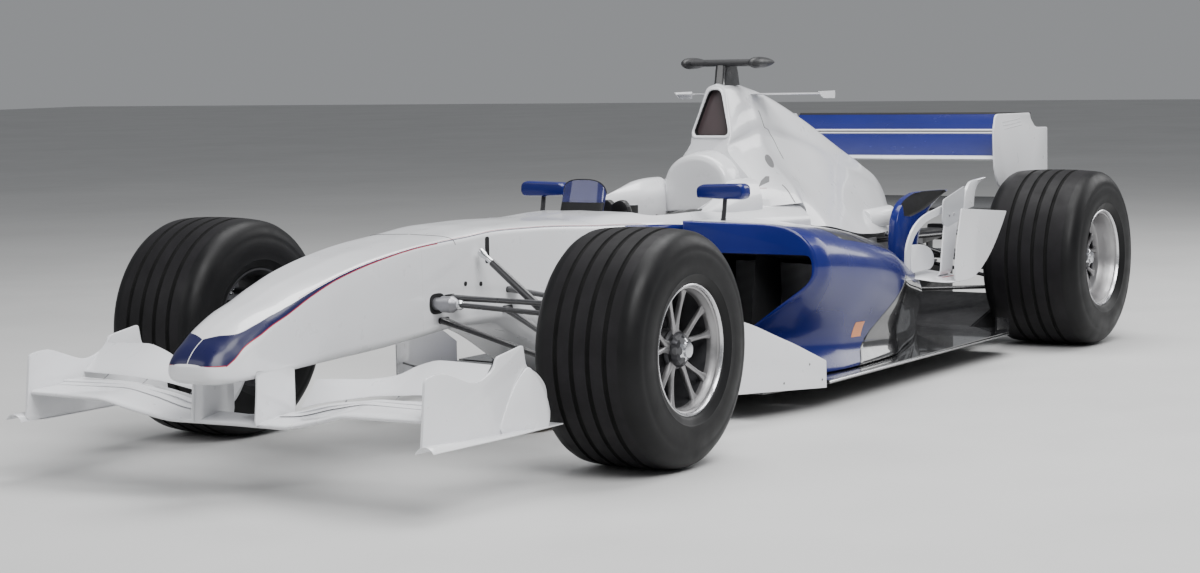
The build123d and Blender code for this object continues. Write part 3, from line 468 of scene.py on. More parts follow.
def carbon(name, rough=0.22, coat=1.0, base=(0.009, 0.009, 0.010), light=(0.019, 0.019, 0.021)):
    """Woven carbon: crossed bands for the tows under a clear lacquer."""
    mat, tree, s = material(name)
    s.inputs["Coat Weight"].default_value = coat
    s.inputs["Coat Roughness"].default_value = 0.04
    weave = node(tree, "ShaderNodeTexChecker", Scale=1.0)
    tree.links.new(coords(tree, 360.0), weave.inputs["Vector"])
    mix = node(tree, "ShaderNodeMix", data_type="RGBA")
    mix.inputs["A"].default_value = base + (1,)
    mix.inputs["B"].default_value = light + (1,)
    tree.links.new(weave.outputs["Fac"], mix.inputs["Factor"])
    tree.links.new(mix.outputs["Result"], s.inputs["Base Color"])
    drive(tree, s, "Roughness", noise(tree, 25.0, 4.0), rough * 0.8, rough * 1.3)
    bump(tree, s, weave.outputs["Fac"], 0.02, 0.0002)
    return mat


def rubber(name, color, rough, scuffs):
    """Tyre rubber: dull, with fine grain and paler scuffs."""
    mat, tree, s = material(name)
    drive(tree, s, "Base Color", noise(tree, 7.0, 8.0, 0.65), color, shade(color, scuffs),
          (0.42, 0.75))
    drive(tree, s, "Roughness", noise(tree, 18.0, 6.0), rough * 0.85, min(rough * 1.15, 1))
    s.inputs["Specular IOR Level"].default_value = 0.2
    bump(tree, s, noise(tree, 260.0, 6.0), 0.12, 0.0006)
    return mat


def metal(name, color, rough=0.3, metallic=1.0, grain=90.0, stretch=1.0, strength=0.05):
    mat, tree, s = material(name)
    s.inputs["Metallic"].default_value = metallic
    drive(tree, s, "Base Color", noise(tree, 6.0, 5.0), shade(color, 0.85), shade(color, 1.1))
    drive(tree, s, "Roughness", noise(tree, grain, 5.0, 0.5, stretch), rough * 0.75, rough * 1.3)
    bump(tree, s, noise(tree, grain * 2, 4.0, 0.5, stretch), strength, 0.0004)
    return mat


def padding(name, color):
    mat, tree, s = material(name)
    s.inputs["Sheen Weight"].default_value = 0.25
    s.inputs["Sheen Roughness"].default_value = 0.5
    drive(tree, s, "Base Color", noise(tree, 30.0, 6.0), shade(color, 0.8), shade(color, 1.4))
    drive(tree, s, "Roughness", noise(tree, 60.0, 4.0), 0.75, 0.95)
    bump(tree, s, noise(tree, 420.0, 4.0), 0.3, 0.0006)
    return mat


def screen_glass(name):
    mat, tree, s = material(name)
    drive(tree, s, "Base Color", noise(tree, 8.0, 2.0), (0.05, 0.055, 0.22), (0.09, 0.10, 0.30))
    drive(tree, s, "Roughness", noise(tree, 50.0, 3.0), 0.04, 0.09)
    s.inputs["Transmission Weight"].default_value = 0.7
    s.inputs["IOR"].default_value = 1.4
    s.inputs["Coat Weight"].default_value = 0.6
    return mat


def planked(name):
    mat, tree, s = material(name)
    grain = noise(tree, 14.0, 8.0, 0.6, (0.3, 6.0, 6.0))
    drive(tree, s, "Base Color", grain, (0.17, 0.10, 0.05), (0.34, 0.22, 0.12))
    drive(tree, s, "Roughness", grain, 0.45, 0.65)
    bump(tree, s, grain, 0.15, 0.0006)
    return mat


def finned(name):
    mat, tree, s = material(name)
    wave = node(tree, "ShaderNodeTexWave", Scale=90.0, Distortion=0.2)
    wave.bands_direction = "Z"
    tree.links.new(coords(tree, 1.0), wave.inputs["Vector"])
    drive(tree, s, "Base Color", wave.outputs["Fac"], (0.03, 0.03, 0.03), (0.22, 0.22, 0.23))
    s.inputs["Metallic"].default_value = 0.8
    drive(tree, s, "Roughness", noise(tree, 30.0), 0.35, 0.55)
    bump(tree, s, wave.outputs["Fac"], 0.4, 0.001)
    return mat


def lens(name):
    mat, tree, s = material(name)
    cells = node(tree, "ShaderNodeTexVoronoi", Scale=130.0)
    tree.links.new(coords(tree, 1.0), cells.inputs["Vector"])
    drive(tree, s, "Base Color", cells.outputs["Distance"], (0.35, 0.01, 0.01), (0.62, 0.03, 0.02))
    drive(tree, s, "Roughness", noise(tree, 30.0), 0.1, 0.2)
    s.inputs["Coat Weight"].default_value = 1.0
    bump(tree, s, cells.outputs["Distance"], 0.25, 0.001)
    return mat


def heated(name):
    mat, tree, s = material(name)
    s.inputs["Metallic"].default_value = 1.0
    drive(tree, s, "Base Color", noise(tree, 12.0, 6.0), (0.32, 0.22, 0.15), (0.48, 0.40, 0.36))
    drive(tree, s, "Roughness", noise(tree, 40.0, 5.0), 0.25, 0.5)
    bump(tree, s, noise(tree, 120.0, 4.0), 0.08, 0.0005)
    return mat


PEARL = (0.74, 0.745, 0.765)
BLUE = (0.004, 0.009, 0.118)
WHITE = paint("pearl_white", PEARL, 0.3, 0.05, 0.7, 0.03)
# A darker copy of the pearl white: painted shade, used on the small flip-up plates and the endplate
# slits
PEARL_IN_SHADE = paint("pearl_shadow", (0.50, 0.51, 0.53), 0.34, 0.05, 0.5, 0.03)
# Dark grey for flat patches on the engine cover: painted shade standing in for its recesses
RECESS_SHADE_GREY = paint("recess_painted_shade", (0.16, 0.16, 0.165), 0.45, 0.0, 0.2, 0.1)
DEEP_BLUE = paint("deep_blue", BLUE, 0.24, 0.0, 0.28, 0.12)
STRIPE_BLUE = paint("stripe_blue", (0.006, 0.007, 0.05), 0.3, 0.0, 0.12, 0.08)
STRIPE_RED = paint("stripe_red", (0.42, 0.02, 0.04), 0.25, 0.0, 1.0, 0.05)
ORANGE = paint("orange_mark", (0.75, 0.22, 0.03), 0.3, 0.0, 0.6, 0.05)
GLOSS_CARBON = carbon("carbon_gloss")
MATT_CARBON = carbon("carbon_matt", 0.5, 0.1, (0.008, 0.008, 0.009), (0.015, 0.015, 0.017))
ARM_CARBON = carbon("carbon_arm", 0.3, 0.5, (0.010, 0.010, 0.012), (0.021, 0.021, 0.024))
DECK_CARBON = carbon("carbon_deck", 0.34, 0.4)
# Near-black paint for gaps, trims, linings and the inlet splitters. On the arm mouths and the
# windscreen's foot it is painted shade for dark openings
BLACK_AND_PAINTED_SHADE = paint("black_and_painted_shade", (0.008, 0.008, 0.009), 0.6, 0.0, 0.0, 0.3)
INLET_BROWN = paint("inlet_screen", (0.06, 0.042, 0.045), 0.5, 0.0, 0.1, 0.2)
TREAD = rubber("tyre_tread", (0.0075, 0.007, 0.008), 0.55, 2.0)
WALL = rubber("tyre_wall", (0.0055, 0.0055, 0.006), 0.45, 1.7)
GROOVE = rubber("tyre_groove", (0.004, 0.004, 0.004), 0.9, 1.3)
RIM_SILVER = metal("rim_silver", (0.36, 0.355, 0.36), 0.36, 0.85, 24.0, 1.0, 0.02)
RIM_LIP = metal("rim_lip", (0.70, 0.70, 0.72), 0.24, 1.0, 40.0, 1.0, 0.01)
# Dark metal for the rim's inboard barrel and boss: painted shade deep inside the wheel
RIM_SHADE_DARK = metal("rim_inner_shade", (0.07, 0.07, 0.075), 0.45, 0.8, 30.0, 1.0, 0.02)
HUB_DARK = metal("hub_dark", (0.06, 0.06, 0.065), 0.42, 0.9, 40.0, 1.0, 0.02)
NUT_BRIGHT = metal("nut_bright", (0.68, 0.69, 0.72), 0.22, 1.0, 90.0)
DISC_GREY = metal("disc_carbon", (0.09, 0.09, 0.095), 0.55, 0.4, 200.0)
ALLOY = metal("upright_alloy", (0.33, 0.33, 0.35), 0.4, 0.9, 60.0)
CASE = metal("case_alloy", (0.20, 0.20, 0.21), 0.5, 0.7, 40.0, 1.0, 0.15)
STEEL = metal("shaft_steel", (0.42, 0.42, 0.44), 0.28, 1.0, 120.0, (8.0, 0.5, 8.0))
BRIGHT = metal("bright_fitting", (0.75, 0.76, 0.78), 0.16, 1.0, 90.0)
COOLER = finned("cooler_fins")
HEATED = heated("exhaust_steel")
WOOD = planked("plank_laminate")
PAD = padding("black_padding", (0.012, 0.012, 0.013))
BELT = padding("belt_webbing", (0.03, 0.035, 0.09))
SCREEN = screen_glass("windscreen_tint")
LENS = lens("rear_lens")
MIRROR = metal("mirror_face", (0.85, 0.86, 0.88), 0.04, 1.0, 20.0, 1.0, 0.0)


# Nose and tub

# x, floor half, floor z, flank half, flank z, crease half, crease z, deck half, deck z, top z
NOSE_ROWS = (
    (2307, 22, 334, 34, 338, 34, 345, 24, 351, 352),
    (2303, 41, 322, 59, 331, 58, 351, 44, 361, 363),
    (2292, 55, 312, 75, 323, 74, 352, 55, 375, 378),
    (2270, 64, 304, 89, 317, 88, 354, 63, 394, 398),
    (2236, 70, 302, 97, 315, 98, 363, 68, 415, 419),
    (2204, 75, 303, 102, 315, 104, 380, 71, 435, 440),
    (2152, 79, 304, 105, 316, 110, 413, 74, 458, 462),
    (2100, 82, 306, 107, 318, 112, 443, 76, 477, 481),
    (2038, 86, 309, 110, 322, 112, 468, 79, 493, 498),
    (1941, 92, 314, 113, 328, 113, 509, 81, 524, 529),
    (1821, 97, 319, 118, 336, 118, 549, 86, 551, 555),
    (1657, 105, 326, 127, 344, 128, 580, 97, 582, 586),
    (1482, 118, 340, 139, 356, 140, 600, 112, 602, 605),
    (1300, 124, 352, 152, 371, 154, 609, 120, 618, 621),
    (1138, 130, 348, 168, 372, 170, 619, 130, 628, 631),
    (957, 130, 290, 184, 352, 188, 616, 140, 628, 632),
    (667, 130, 150, 208, 262, 215, 600, 160, 619, 626),
    (480, 158, 104, 224, 205, 229, 590, 178, 622, 628),
    (310, 190, 91, 236, 170, 240, 580, 190, 622, 626),
    (0, 215, 91, 262, 160, 262, 560, 215, 610, 612),
    (-345, 215, 91, 262, 160, 262, 548, 222, 600, 601),
    (-639, 215, 91, 262, 160, 262, 540, 215, 589, 590),
)
NOSE_EASE = (0, 26, 16, 16, 34, 0)


def tub_half(x):
    """The left half of the nose's or tub's section, from the floor's middle up to the top's."""
    row = between(NOSE_ROWS, x)
    return [(0, row[1]), *((row[i], row[i + 1]) for i in range(0, 8, 2)), (0, row[8])]


def tub_point(x, s, side=1, lift=0.0):
    """A point on the nose or tub. s = 3 is the crease and s = 5 the top's middle line."""
    here = profile_point(tub_half(x), NOSE_EASE, min(s, 4.9999))
    if lift:
        a = profile_point(tub_half(x), NOSE_EASE, max(s - 0.02, 0))
        b = profile_point(tub_half(x), NOSE_EASE, min(s + 0.02, 4.9999))
        way = b - a
        out = np.array([way[1], -way[0]])
        out = out / max(np.linalg.norm(out), 1e-9)
        here = here + out * lift
    return (x, side * here[0], here[1])


def tub_ring(x):
    half = profile(tub_half(x), NOSE_EASE, 7)
    left = [(x, y, z) for y, z in half]
    right = [(x, -y, z) for y, z in half[::-1][1:-1]]
    return left + right


nose_tip = [2307, 2306, 2304.5, 2302, 2298, 2292, 2284, 2274, 2262, 2248, 2232, 2214, 2196, 2176,
            2152, 2126, 2100]
nose_stations = nose_tip + list(np.linspace(2070, 1482.2, 30))
tub_stations = list(np.linspace(1481.8, -345, 74)) + list(np.linspace(-370, -639, 12))

mesh_piece("nose_skin", lofted([tub_ring(x) for x in nose_stations]), "body_white", WHITE,
           replaces=("nose_cone",), sharp=40)
tub_skin = mesh_piece("tub_skin", lofted([tub_ring(x) for x in tub_stations]), "body_white", WHITE,
                      replaces=("monocoque",), sharp=40)

# The cockpit's opening, cut down into the tub
opening = loop(((418, -100), (418, 100), (408, 166), (366, 202), (200, 214), (-100, 214),
                (-150, 140), (-318, 140), (-318, -140), (-150, -140), (-100, -214), (200, -214),
                (366, -202), (408, -166)),
               (40, 40, 30, 50, 60, 24, 24, 10, 10, 24, 24, 60, 50, 30), 6)


def shrunk(points, amount, centre):
    """Points drawn in towards a centre by a length."""
    centre = np.array(centre, float)
    way = np.asarray(points, float) - centre
    return centre + way * (1 - amount / np.linalg.norm(way, axis=1, keepdims=True))


cockpit_rings = [[(x, y, z) for x, y in shrunk(opening, amount, (60, 0))]
                 for z, amount in ((680, 0), (560, 0), (520, 6), (300, 14), (128, 40))]
cut(tub_skin, cockpit_rings, PAD, 40)


def decal(name, stations, low, high, mat, across=6, lift=0.5):
    """A thin painted band on the nose or tub on both sides. low and high give s at an x."""
    parts = []
    for side in (1, -1):
        rows = []
        for x in stations:
            a, b = low(x), high(x)
            rows.append([tub_point(x, a + (b - a) * j / across, side, lift)
                         for j in range(across + 1)])
        parts.append(lofted(rows, closed=False, caps=False))
    return mesh_piece(name, merged(parts), "body_white", mat)


def taper(x, pairs):
    """A value at x from pairs that run from high to low x."""
    return between(pairs, x)[0]


# The dark blue flash covers the tip, sweeps down to the crease and narrows to a line along it
FLASH_LOW = ((2306, 2.9), (2279, 2.9), (2262, 2.98), (2236, 3.12), (2197, 3.28), (2134, 3.07),
             (2020, 2.9), (1834, 2.84), (1650, 2.9), (1482, 2.97), (1300, 3.0), (420, 3.02))
FLASH_HIGH = ((2306, 4.965), (2243, 4.965), (2236, 4.75), (2222, 4.2), (2208, 3.98), (2183, 3.84),
              (2150, 3.77), (2108, 3.66), (2011, 3.22), (1900, 3.02), (1834, 2.95), (1650, 2.97),
              (1482, 3.03), (1300, 3.05), (420, 3.05))
FLASH_FOOT_Z = 355.5
FLASH_TIP_END = 2262


def height_share(x, z):
    """The s at which the section at x reaches a height."""
    low, high = 2.5, 4.96
    for _ in range(22):
        middle = (low + high) / 2
        if tub_point(x, middle)[2] < z:
            low = middle
        else:
            high = middle
    return low


def flash_low(x):
    """The flash's foot: level round the tip, then along the table."""
    if x > FLASH_TIP_END:
        return max(height_share(x, FLASH_FOOT_Z), taper(x, FLASH_LOW))
    return taper(x, FLASH_LOW)


def flash_high(x):
    return taper(x, FLASH_HIGH)


tip_run = np.concatenate([np.linspace(2304.4, 2296, 22), np.linspace(2295, 2200, 60)])
long_run = np.concatenate([tip_run, np.linspace(2194, 420, 130)])
decal("nose_flash", long_run, flash_low, flash_high, STRIPE_BLUE, 12)
decal("nose_flash_edge", long_run[long_run > 1400], lambda x: flash_low(x) - 0.05, flash_low,
      STRIPE_RED, 2)
decal("nose_flash_pin", np.linspace(1980, 440, 90), lambda x: flash_high(x) + 0.05,
      lambda x: flash_high(x) + 0.072, STRIPE_RED, 1)

# The blue of the sidepods runs forwards on the tub's flank to a point
TUB_FLASH_LOW = ((536, 2.97), (480, 2.5), (420, 1.9), (330, 1.3), (120, 1.1))
TUB_FLASH_HIGH = ((536, 2.99), (470, 3.02), (120, 3.02))
decal("tub_flash", np.linspace(536, 120, 60), lambda x: taper(x, TUB_FLASH_LOW),
      lambda x: taper(x, TUB_FLASH_HIGH), DEEP_BLUE, 14)

# The panel line where the nose fairing ends
gap_parts = []
for side in (1, -1):
    line = [tub_point(1336 + 10 * min((s - 2.7) / 0.6, 1), s, side, 0.2)
            for s in np.linspace(2.7, 4.98, 32)]
    gap_parts.append(tube_part(line, 0.8, 6))
mesh_piece("panel_gaps", merged(gap_parts), "carbon_matt", BLACK_AND_PAINTED_SHADE)

# Nose pylons, their outer faces flush with the nose's flank
pylon_parts = []
for side in (1, -1):
    rings = []
    for z, front, rear in ((190, 2172, 2010), (205, 2174, 2006), (240, 2170, 2006),
                           (280, 2166, 2006), (328, 2164, 2006)):
        shape = loop(((front, 6), (front, -4), (front - 22, -1), (rear + 40, -1), (rear, -6),
                      (rear, -10), (rear + 40, -18), (front - 22, -18)), 8, 3)
        rings.append([(a, side * (between(NOSE_ROWS, a)[2] + b - 0.6), z) for a, b in shape])
    pylon_parts.append(lofted(rings))
mesh_piece("nose_pylons", merged(pylon_parts), "body_white", WHITE, sharp=50)


# Wheels

# Each pair's name, axle, track half, tyre half, rim lip, the spokes' depth behind the lip, and
# whether the rim is dished
WHEELS = (("front", FRONT_AXLE_X, FRONT_WHEEL_Y, 165, 150, 42, False),
          ("rear", REAR_AXLE_X, REAR_WHEEL_Y, 189, 172, 75, True))
TYRE_STEPS = 128
GROOVES = (75, 25, -25, -75)
GROOVE_DEPTH = 4.6
CROWN_DROP = 6.5
RIM_STEPS = 96
SPOKE_PAIRS = 5
SPOKE_SPREAD = math.radians(14)
SPOKE_PHASE = math.radians(5)
NUT_STEPS = 60
NUT_TIP_ROW = 4


def tyre_section(half, lip):
    """Offset, radius and material number of each point across the walls and the grooved tread."""
    wall = [(lip - 12, 172), (lip - 2, 176), (lip + 3, 181), (lip + 7, 187), (half - 5, 198),
            (half - 2, 203), (half - 2.4, 206), (half - 0.6, 222), (half, 242), (half - 2, 262),
            (half - 4.5, 270), (half - 4.2, 274), (half - 8, 288), (half - 16, 302),
            (half - 26, 312), (half - 38, 318)]
    crown = half - 38
    marks = [(crown * 0.88, 0, 0)]
    for centre in GROOVES:
        marks += [(centre + 7.2, 0, 0), (centre + 5, GROOVE_DEPTH, 2),
                  (centre - 5, GROOVE_DEPTH, 2), (centre - 7.2, 0, 0)]
    marks.append((-crown * 0.88, 0, 0))
    tread = [(o, TYRE_RADIUS - CROWN_DROP * (abs(o) / crown) ** 2.6 - depth, kind)
             for o, depth, kind in marks]
    return [(o, r, 1) for o, r in wall] + tread + [(-o, r, 1) for o, r in wall[::-1]]


def build_tyre(wheel, word, side):
    end, x, y, half, lip = wheel[:5]
    section = tyre_section(half, lip)
    part = lathe_part([(o, r) for o, r, _ in section], (x, side * y, TYRE_RADIUS), "y", TYRE_STEPS)
    kinds = [max(a[2], b[2]) for a, b in zip(section, section[1:])] * TYRE_STEPS
    mesh_piece(f"tyre_{end}_{word}_skin", part, "tyre_rubber", [TREAD, WALL, GROOVE], kinds,
               f"wheel_{end}_{word}", sharp=28, replaces=(f"tyre_{end}_{word}",))


def spoke_part(angle, spread, inner_y, outer_y, inner_r, outer_r, width, depth):
    """One curved spoke: wide at the hub and the barrel, slim between, square with rounded edges."""
    rings = []
    for t in np.linspace(0, 1, 11):
        r = inner_r + (outer_r - inner_r) * t
        a = angle + spread * (0.42 + 0.58 * math.sin(t * math.pi / 2))
        y = inner_y + (outer_y - inner_y) * t ** 1.6
        w = width * (0.62 + 0.75 * (2 * t - 1) ** 4 + 0.12 * (1 - t))
        d = depth * (1.0 - 0.25 * t)
        shape = loop(((-w, 0), (-w * 0.9, d * 0.75), (0, d), (w * 0.9, d * 0.75), (w, 0),
                      (w * 0.7, -d * 0.5), (-w * 0.7, -d * 0.5)), 3.0, 2)
        radial = np.array([math.sin(a), 0, math.cos(a)])
        across = np.array([math.cos(a), 0, -math.sin(a)])
        base = radial * r + np.array([0, y, 0])
        rings.append([base + across * p + np.array([0, 1, 0]) * q for p, q in shape])
    return lofted(rings)


def build_rim(wheel, word, side):
    """The barrel with its lips, pairs of spokes and the boss in the middle."""
    end, x, y, _, lip, depth, dished = wheel
    centre = (x, side * y, TYRE_RADIUS)
    face = lip - depth
    barrel = [(lip - 3.5, 170), (lip - 1, 176.5), (lip + 0.6, 177.4), (lip + 1.6, 175.5),
              (lip + 0.8, 172.6), (lip - 5, 169.5), (lip - 9, 168.6), (lip - 11, 164.5),
              (lip - 20, 161.5), (lip - 26, 158.2)]
    kinds = [1] * 5 + [0] * 4
    if dished:
        barrel += [(lip - 50, 156.0), (face + 6, 150.0), (face, 142), (face - 3, 120),
                   (face - 6, 118)]
        kinds += [0] * 4 + [2]
    else:
        barrel += [(face + 10, 157.4), (face + 2, 156.6), (0, 156.4)]
        kinds += [0] * 2 + [2]
    # Material 2, the dark metal, paints shade on the barrel's inboard half and the boss
    barrel += [(-lip + 20, 156), (-lip + 8, 164), (-lip - 0.5, 171), (-lip - 0.5, 177),
               (-lip + 3, 177)]
    kinds += [2] * 5
    kinds *= RIM_STEPS
    parts = [lathe_part(barrel, centre, "y", RIM_STEPS, side)]
    outer_y, outer_r = (face, 121) if dished else (face + 4, 158)
    for n in range(SPOKE_PAIRS):
        angle = SPOKE_PHASE * side + n * math.radians(360 / SPOKE_PAIRS)
        for spread in (-SPOKE_SPREAD, SPOKE_SPREAD):
            v, f = spoke_part(angle, spread, face - 10, outer_y, 44, outer_r, 10.5, 13)
            parts.append(moved((v * np.array([1, side, 1]), f), centre))
            kinds += [0] * len(f)
    boss = lathe_part([(face - 16, 37), (face - 4, 37), (face - 2, 40), (face - 1, 47),
                       (face - 3, 53), (face - 10, 56), (face - 16, 55)], centre, "y", 60, side)
    parts.append(boss)
    kinds += [2] * len(boss[1])
    mesh_piece(f"rim_{end}_{word}_skin", merged(parts), f"rim_{end}",
               [RIM_SILVER, RIM_LIP, RIM_SHADE_DARK], kinds,
               f"wheel_{end}_{word}", sharp=32, replaces=(f"rim_{end}_{word}",))


def build_nut(wheel, word, side):
    """The centre nut: a fluted collar with a bright tip."""
    end, x, y, _, lip, depth, _ = wheel
    face = lip - depth
    rings = []
    for o, r, flute in ((face + 1, 46.5, 0.0), (face + 6, 46.5, 0.04), (face + 14, 42, 0.10),
                        (face + 20, 39, 0.10), (face + 24, 30, 0.04), (face + 30, 22.5, 0),
                        (face + 36.4, 20.5, 0), (face + 37.2, 17, 0)):
        ring = []
        for a in np.linspace(0, 2 * math.pi, NUT_STEPS, endpoint=False):
            reach = r * (1 + flute * math.cos(6 * a))
            ring.append((x + reach * math.sin(a), side * y + side * o,
                         TYRE_RADIUS + reach * math.cos(a)))
        rings.append(ring)
    part = lofted(rings)
    kinds = [int(min(face_ids) // NUT_STEPS >= NUT_TIP_ROW) for face_ids in part[1]]
    mesh_piece(f"nut_{end}_{word}", part, "hub_steel", [HUB_DARK, NUT_BRIGHT], kinds,
               f"wheel_{end}_{word}", sharp=30)


for word, side in SIDES:
    for build in (build_tyre, build_rim, build_nut):
        for wheel in WHEELS:
            build(wheel, word, side)


# Front wing

FRONT_WING_HALF = 644.7
# y, nose x, nose z, slot x, slot z
MAIN_PLANE = ((0, 2148, 189, 2072, 202), (173, 2164, 189, 2080, 211), (301, 2186, 212, 2080, 238),
              (411, 2198, 236, 2080, 254), (517, 2200, 238, 2080, 252),
              (FRONT_WING_HALF, 2198, 239, 2080, 250))

# y, first flap front x, z, rear x, z, second flap front x, z, rear x, z
FLAPS = ((116, 2072, 206, 2006, 204, 2000, 214, 1935, 282),
         (150, 2072, 212, 2002, 211, 1996, 224, 1925, 284),
         (260, 2072, 238, 2000, 231, 1993, 244, 1915, 288),
         (350, 2072, 250, 1998, 245, 1991, 258, 1906, 300),
         (430, 2072, 258, 1998, 251, 1990, 264, 1902, 332),
         (490, 2072, 258, 1998, 254, 1990, 268, 1900, 346),
         (FRONT_WING_HALF, 2072, 255, 1998, 257, 1990, 271, 1900, 342))


def span(rows, at):
    """A table's row at one station. The rows run from low to high in their first column."""
    table = np.array(rows, float)
    return [float(pchip(table[:, 0], table[:, c], at)) for c in range(1, table.shape[1])]


def wing_rings(rows, columns, thickness, camber, ys):
    """A plane's sections at some y, from the table's columns for its two edges."""
    rings = []
    for y in ys:
        values = span(rows, abs(y))
        fx, fz, rx, rz = (values[c] for c in columns)
        rings.append([(a, y, b) for a, b in foil((fx, fz), (rx, rz), thickness, camber, 17)])
    return rings


main_rings = wing_rings(MAIN_PLANE, (0, 1, 2, 3), 19, 5,
                        np.linspace(-FRONT_WING_HALF, FRONT_WING_HALF, 61))
mesh_piece("front_wing_main_skin", lofted(main_rings), "body_white", WHITE,
           replaces=("front_wing_main",), sharp=50)
flap_rings = [lofted(wing_rings(FLAPS, c, t, k, side * np.linspace(116, FRONT_WING_HALF, 28)))
              for c, t, k in (((0, 1, 2, 3), 10, 3), ((4, 5, 6, 7), 9, 4)) for side in (1, -1)]
mesh_piece("front_wing_flaps_skin", merged(flap_rings), "body_white", WHITE,
           replaces=("front_wing_flaps",), sharp=50)

# Seals close the front gap between the wing's elements, and posts hold the flaps
post_parts = []
seal_rings = []
for y in np.linspace(118, 644, 40):
    rear_x, rear_z = span(MAIN_PLANE, y)[2:4]
    front_x, front_z = span(FLAPS, y)[0:2]
    seal_rings.append([(rear_x + 16, y, rear_z - 0.4), (rear_x, y, rear_z + 1.2),
                       (front_x - 16, y, front_z + 4.2), (front_x - 16, y, front_z - 1),
                       (rear_x + 6, y, rear_z - 2.4)])
mesh_piece("front_wing_seals", both(lofted(seal_rings)), "body_white", WHITE, sharp=60)
for y in (255, 420, 560):
    values = span(FLAPS, y)
    post_parts.append(slab([(values[2] + 14, values[3] - 2), (values[2] - 12, values[3] + 10),
                            (values[2] - 30, values[5] + 12), (values[2] - 4, values[5] - 6)],
                           y - 1.2, y + 1.2))
bevelled(mesh_piece("front_wing_posts", both(merged(post_parts)), "shaft_steel", STEEL), 0.4)

end_outline = list(loop(((2215, 168), (2195, 342), (2128, 351), (1980, 301), (1898, 329),
                         (1884, 360), (1764, 378), (1752, 320), (1700, 300), (1660, 262),
                         (1646, 160), (2150, 160)),
                        (10, 12, 30, 40, 30, 12, 8, 18, 30, 20, 14, 20), 4))
side_plate = slab(end_outline, 645, 653)
# The foot arches up like a tunnel in front and runs out flat behind
foot_rings = []
for x in (2236, 2210, 2160, 2100, 2020, 1940, 1860, 1760, 1700, 1656):
    rise = 17 * max(0.0, min(1.0, (x - 1860) / 340)) ** 1.3
    arch_line = [(645 + 56 * t, 162 + rise * math.sin(math.pi * t) ** 0.8 + 4 * t * rise / 17)
                 for t in np.linspace(0, 1, 11)]
    top_line = [(x, a, b + 3.4) for a, b in arch_line]
    foot_rings.append([(x, a, b) for a, b in arch_line] + top_line[::-1])
foot = lofted(foot_rings)
# The vane bulges out of the plate and falls to the foot in a quarter round
VANE_ROWS = ((1880, 655, 178, 1872, 655), (1840, 655, 240, 1840, 662), (1800, 657, 288, 1810, 671),
             (1752, 660, 320, 1776, 682), (1728, 664, 300, 1758, 688), (1706, 672, 264, 1742, 692),
             (1694, 679, 232, 1730, 696), (1690, 684, 200, 1722, 698))
vane_table = np.array(VANE_ROWS, float)
vane_rings = []
for u in np.linspace(0, len(VANE_ROWS) - 1, 24):
    tx, ty, tz, fx, fy = (float(pchip(np.arange(len(VANE_ROWS)), vane_table[:, c], u))
                          for c in range(5))
    mx, my, mz = (fx + tx) / 2 + 2, (fy + ty) / 2, (163 + tz) / 2
    vane_rings.append([(fx, fy, 163), (mx, my + 3, mz), (tx, ty, tz),
                       (tx, ty - 4, tz), (mx, my - 1, mz), (fx, fy - 4, 163)])
vane = lofted(vane_rings)
plates = merged([both(part) for part in (side_plate, foot, vane)])
bevelled(mesh_piece("front_endplates_skin", plates, "body_white", WHITE,
                    replaces=("front_endplates",)), 1.6, 3)


# Front suspension and steering

KINGPIN_Y = 690
# The height of each wishbone's eye and the places of its two inner ends
WISHBONES = ((430, ((1366, 165, 446), (1092, 172, 446))),
             (220, ((1392, 148, 384), (1110, 168, 392))))
arm_groups = []
for side in (1, -1):
    for eye_z, ends in WISHBONES:
        tip = (FRONT_AXLE_X, side * (KINGPIN_Y - 30), eye_z)
        for ex, ey, ez in ends:
            arm_groups.append((0, arm_part((ex, side * ey, ez), tip, 40, 15, 9, 0.3)))
        eye = lathe_part([(-9, 7.05), (-9, 12), (-7, 14), (7, 14), (9, 12), (9, 7.05)],
                         (FRONT_AXLE_X, side * KINGPIN_Y, eye_z), "z", 28)
        arm_groups.append((1, eye))
        neck = tube_part([(FRONT_AXLE_X, side * (KINGPIN_Y - 44), eye_z),
                          (FRONT_AXLE_X, side * (KINGPIN_Y - 26), eye_z),
                          (FRONT_AXLE_X, side * (KINGPIN_Y - 12), eye_z)], [15, 12, 9], 16, 0.6)
        arm_groups.append((1, neck))
    pin = [(1312, side * 606, 224), (1312, side * 606, 262)]
    arm_groups.append((1, tube_part(pin, 12, 20, 1, (1, 0, 0))))
grouped_piece("front_wishbones_skin", arm_groups, "carbon_gloss", [ARM_CARBON, BRIGHT],
              replaces=("front_wishbones",))

push_groups = []
for side in (1, -1):
    foot_point = np.array((1312, side * 604, 272), float)
    top_point = np.array((1249, side * 176, 566), float)
    way = top_point - foot_point
    stations = [foot_point + way * t for t in (0, 0.03, 0.05, 0.09, 0.5, 0.9, 0.95, 0.97, 1.0)]
    push_groups.append((0, tube_part(stations[3:6], (11, 13, 11), 16, 0.8, (1, 0, 0))))
    push_groups.append((1, tube_part(stations[:4], (10, 10, 7.5, 8.5), 16)))
    push_groups.append((1, tube_part(stations[5:], (8.5, 7.5, 11, 11), 16)))
    push_groups.append((1, ball_part(tuple(foot_point + np.array([0, 0, -2.0])), 13)))
grouped_piece("front_pushrods_skin", push_groups, "carbon_gloss", [ARM_CARBON, BRIGHT],
              replaces=("front_pushrods",))

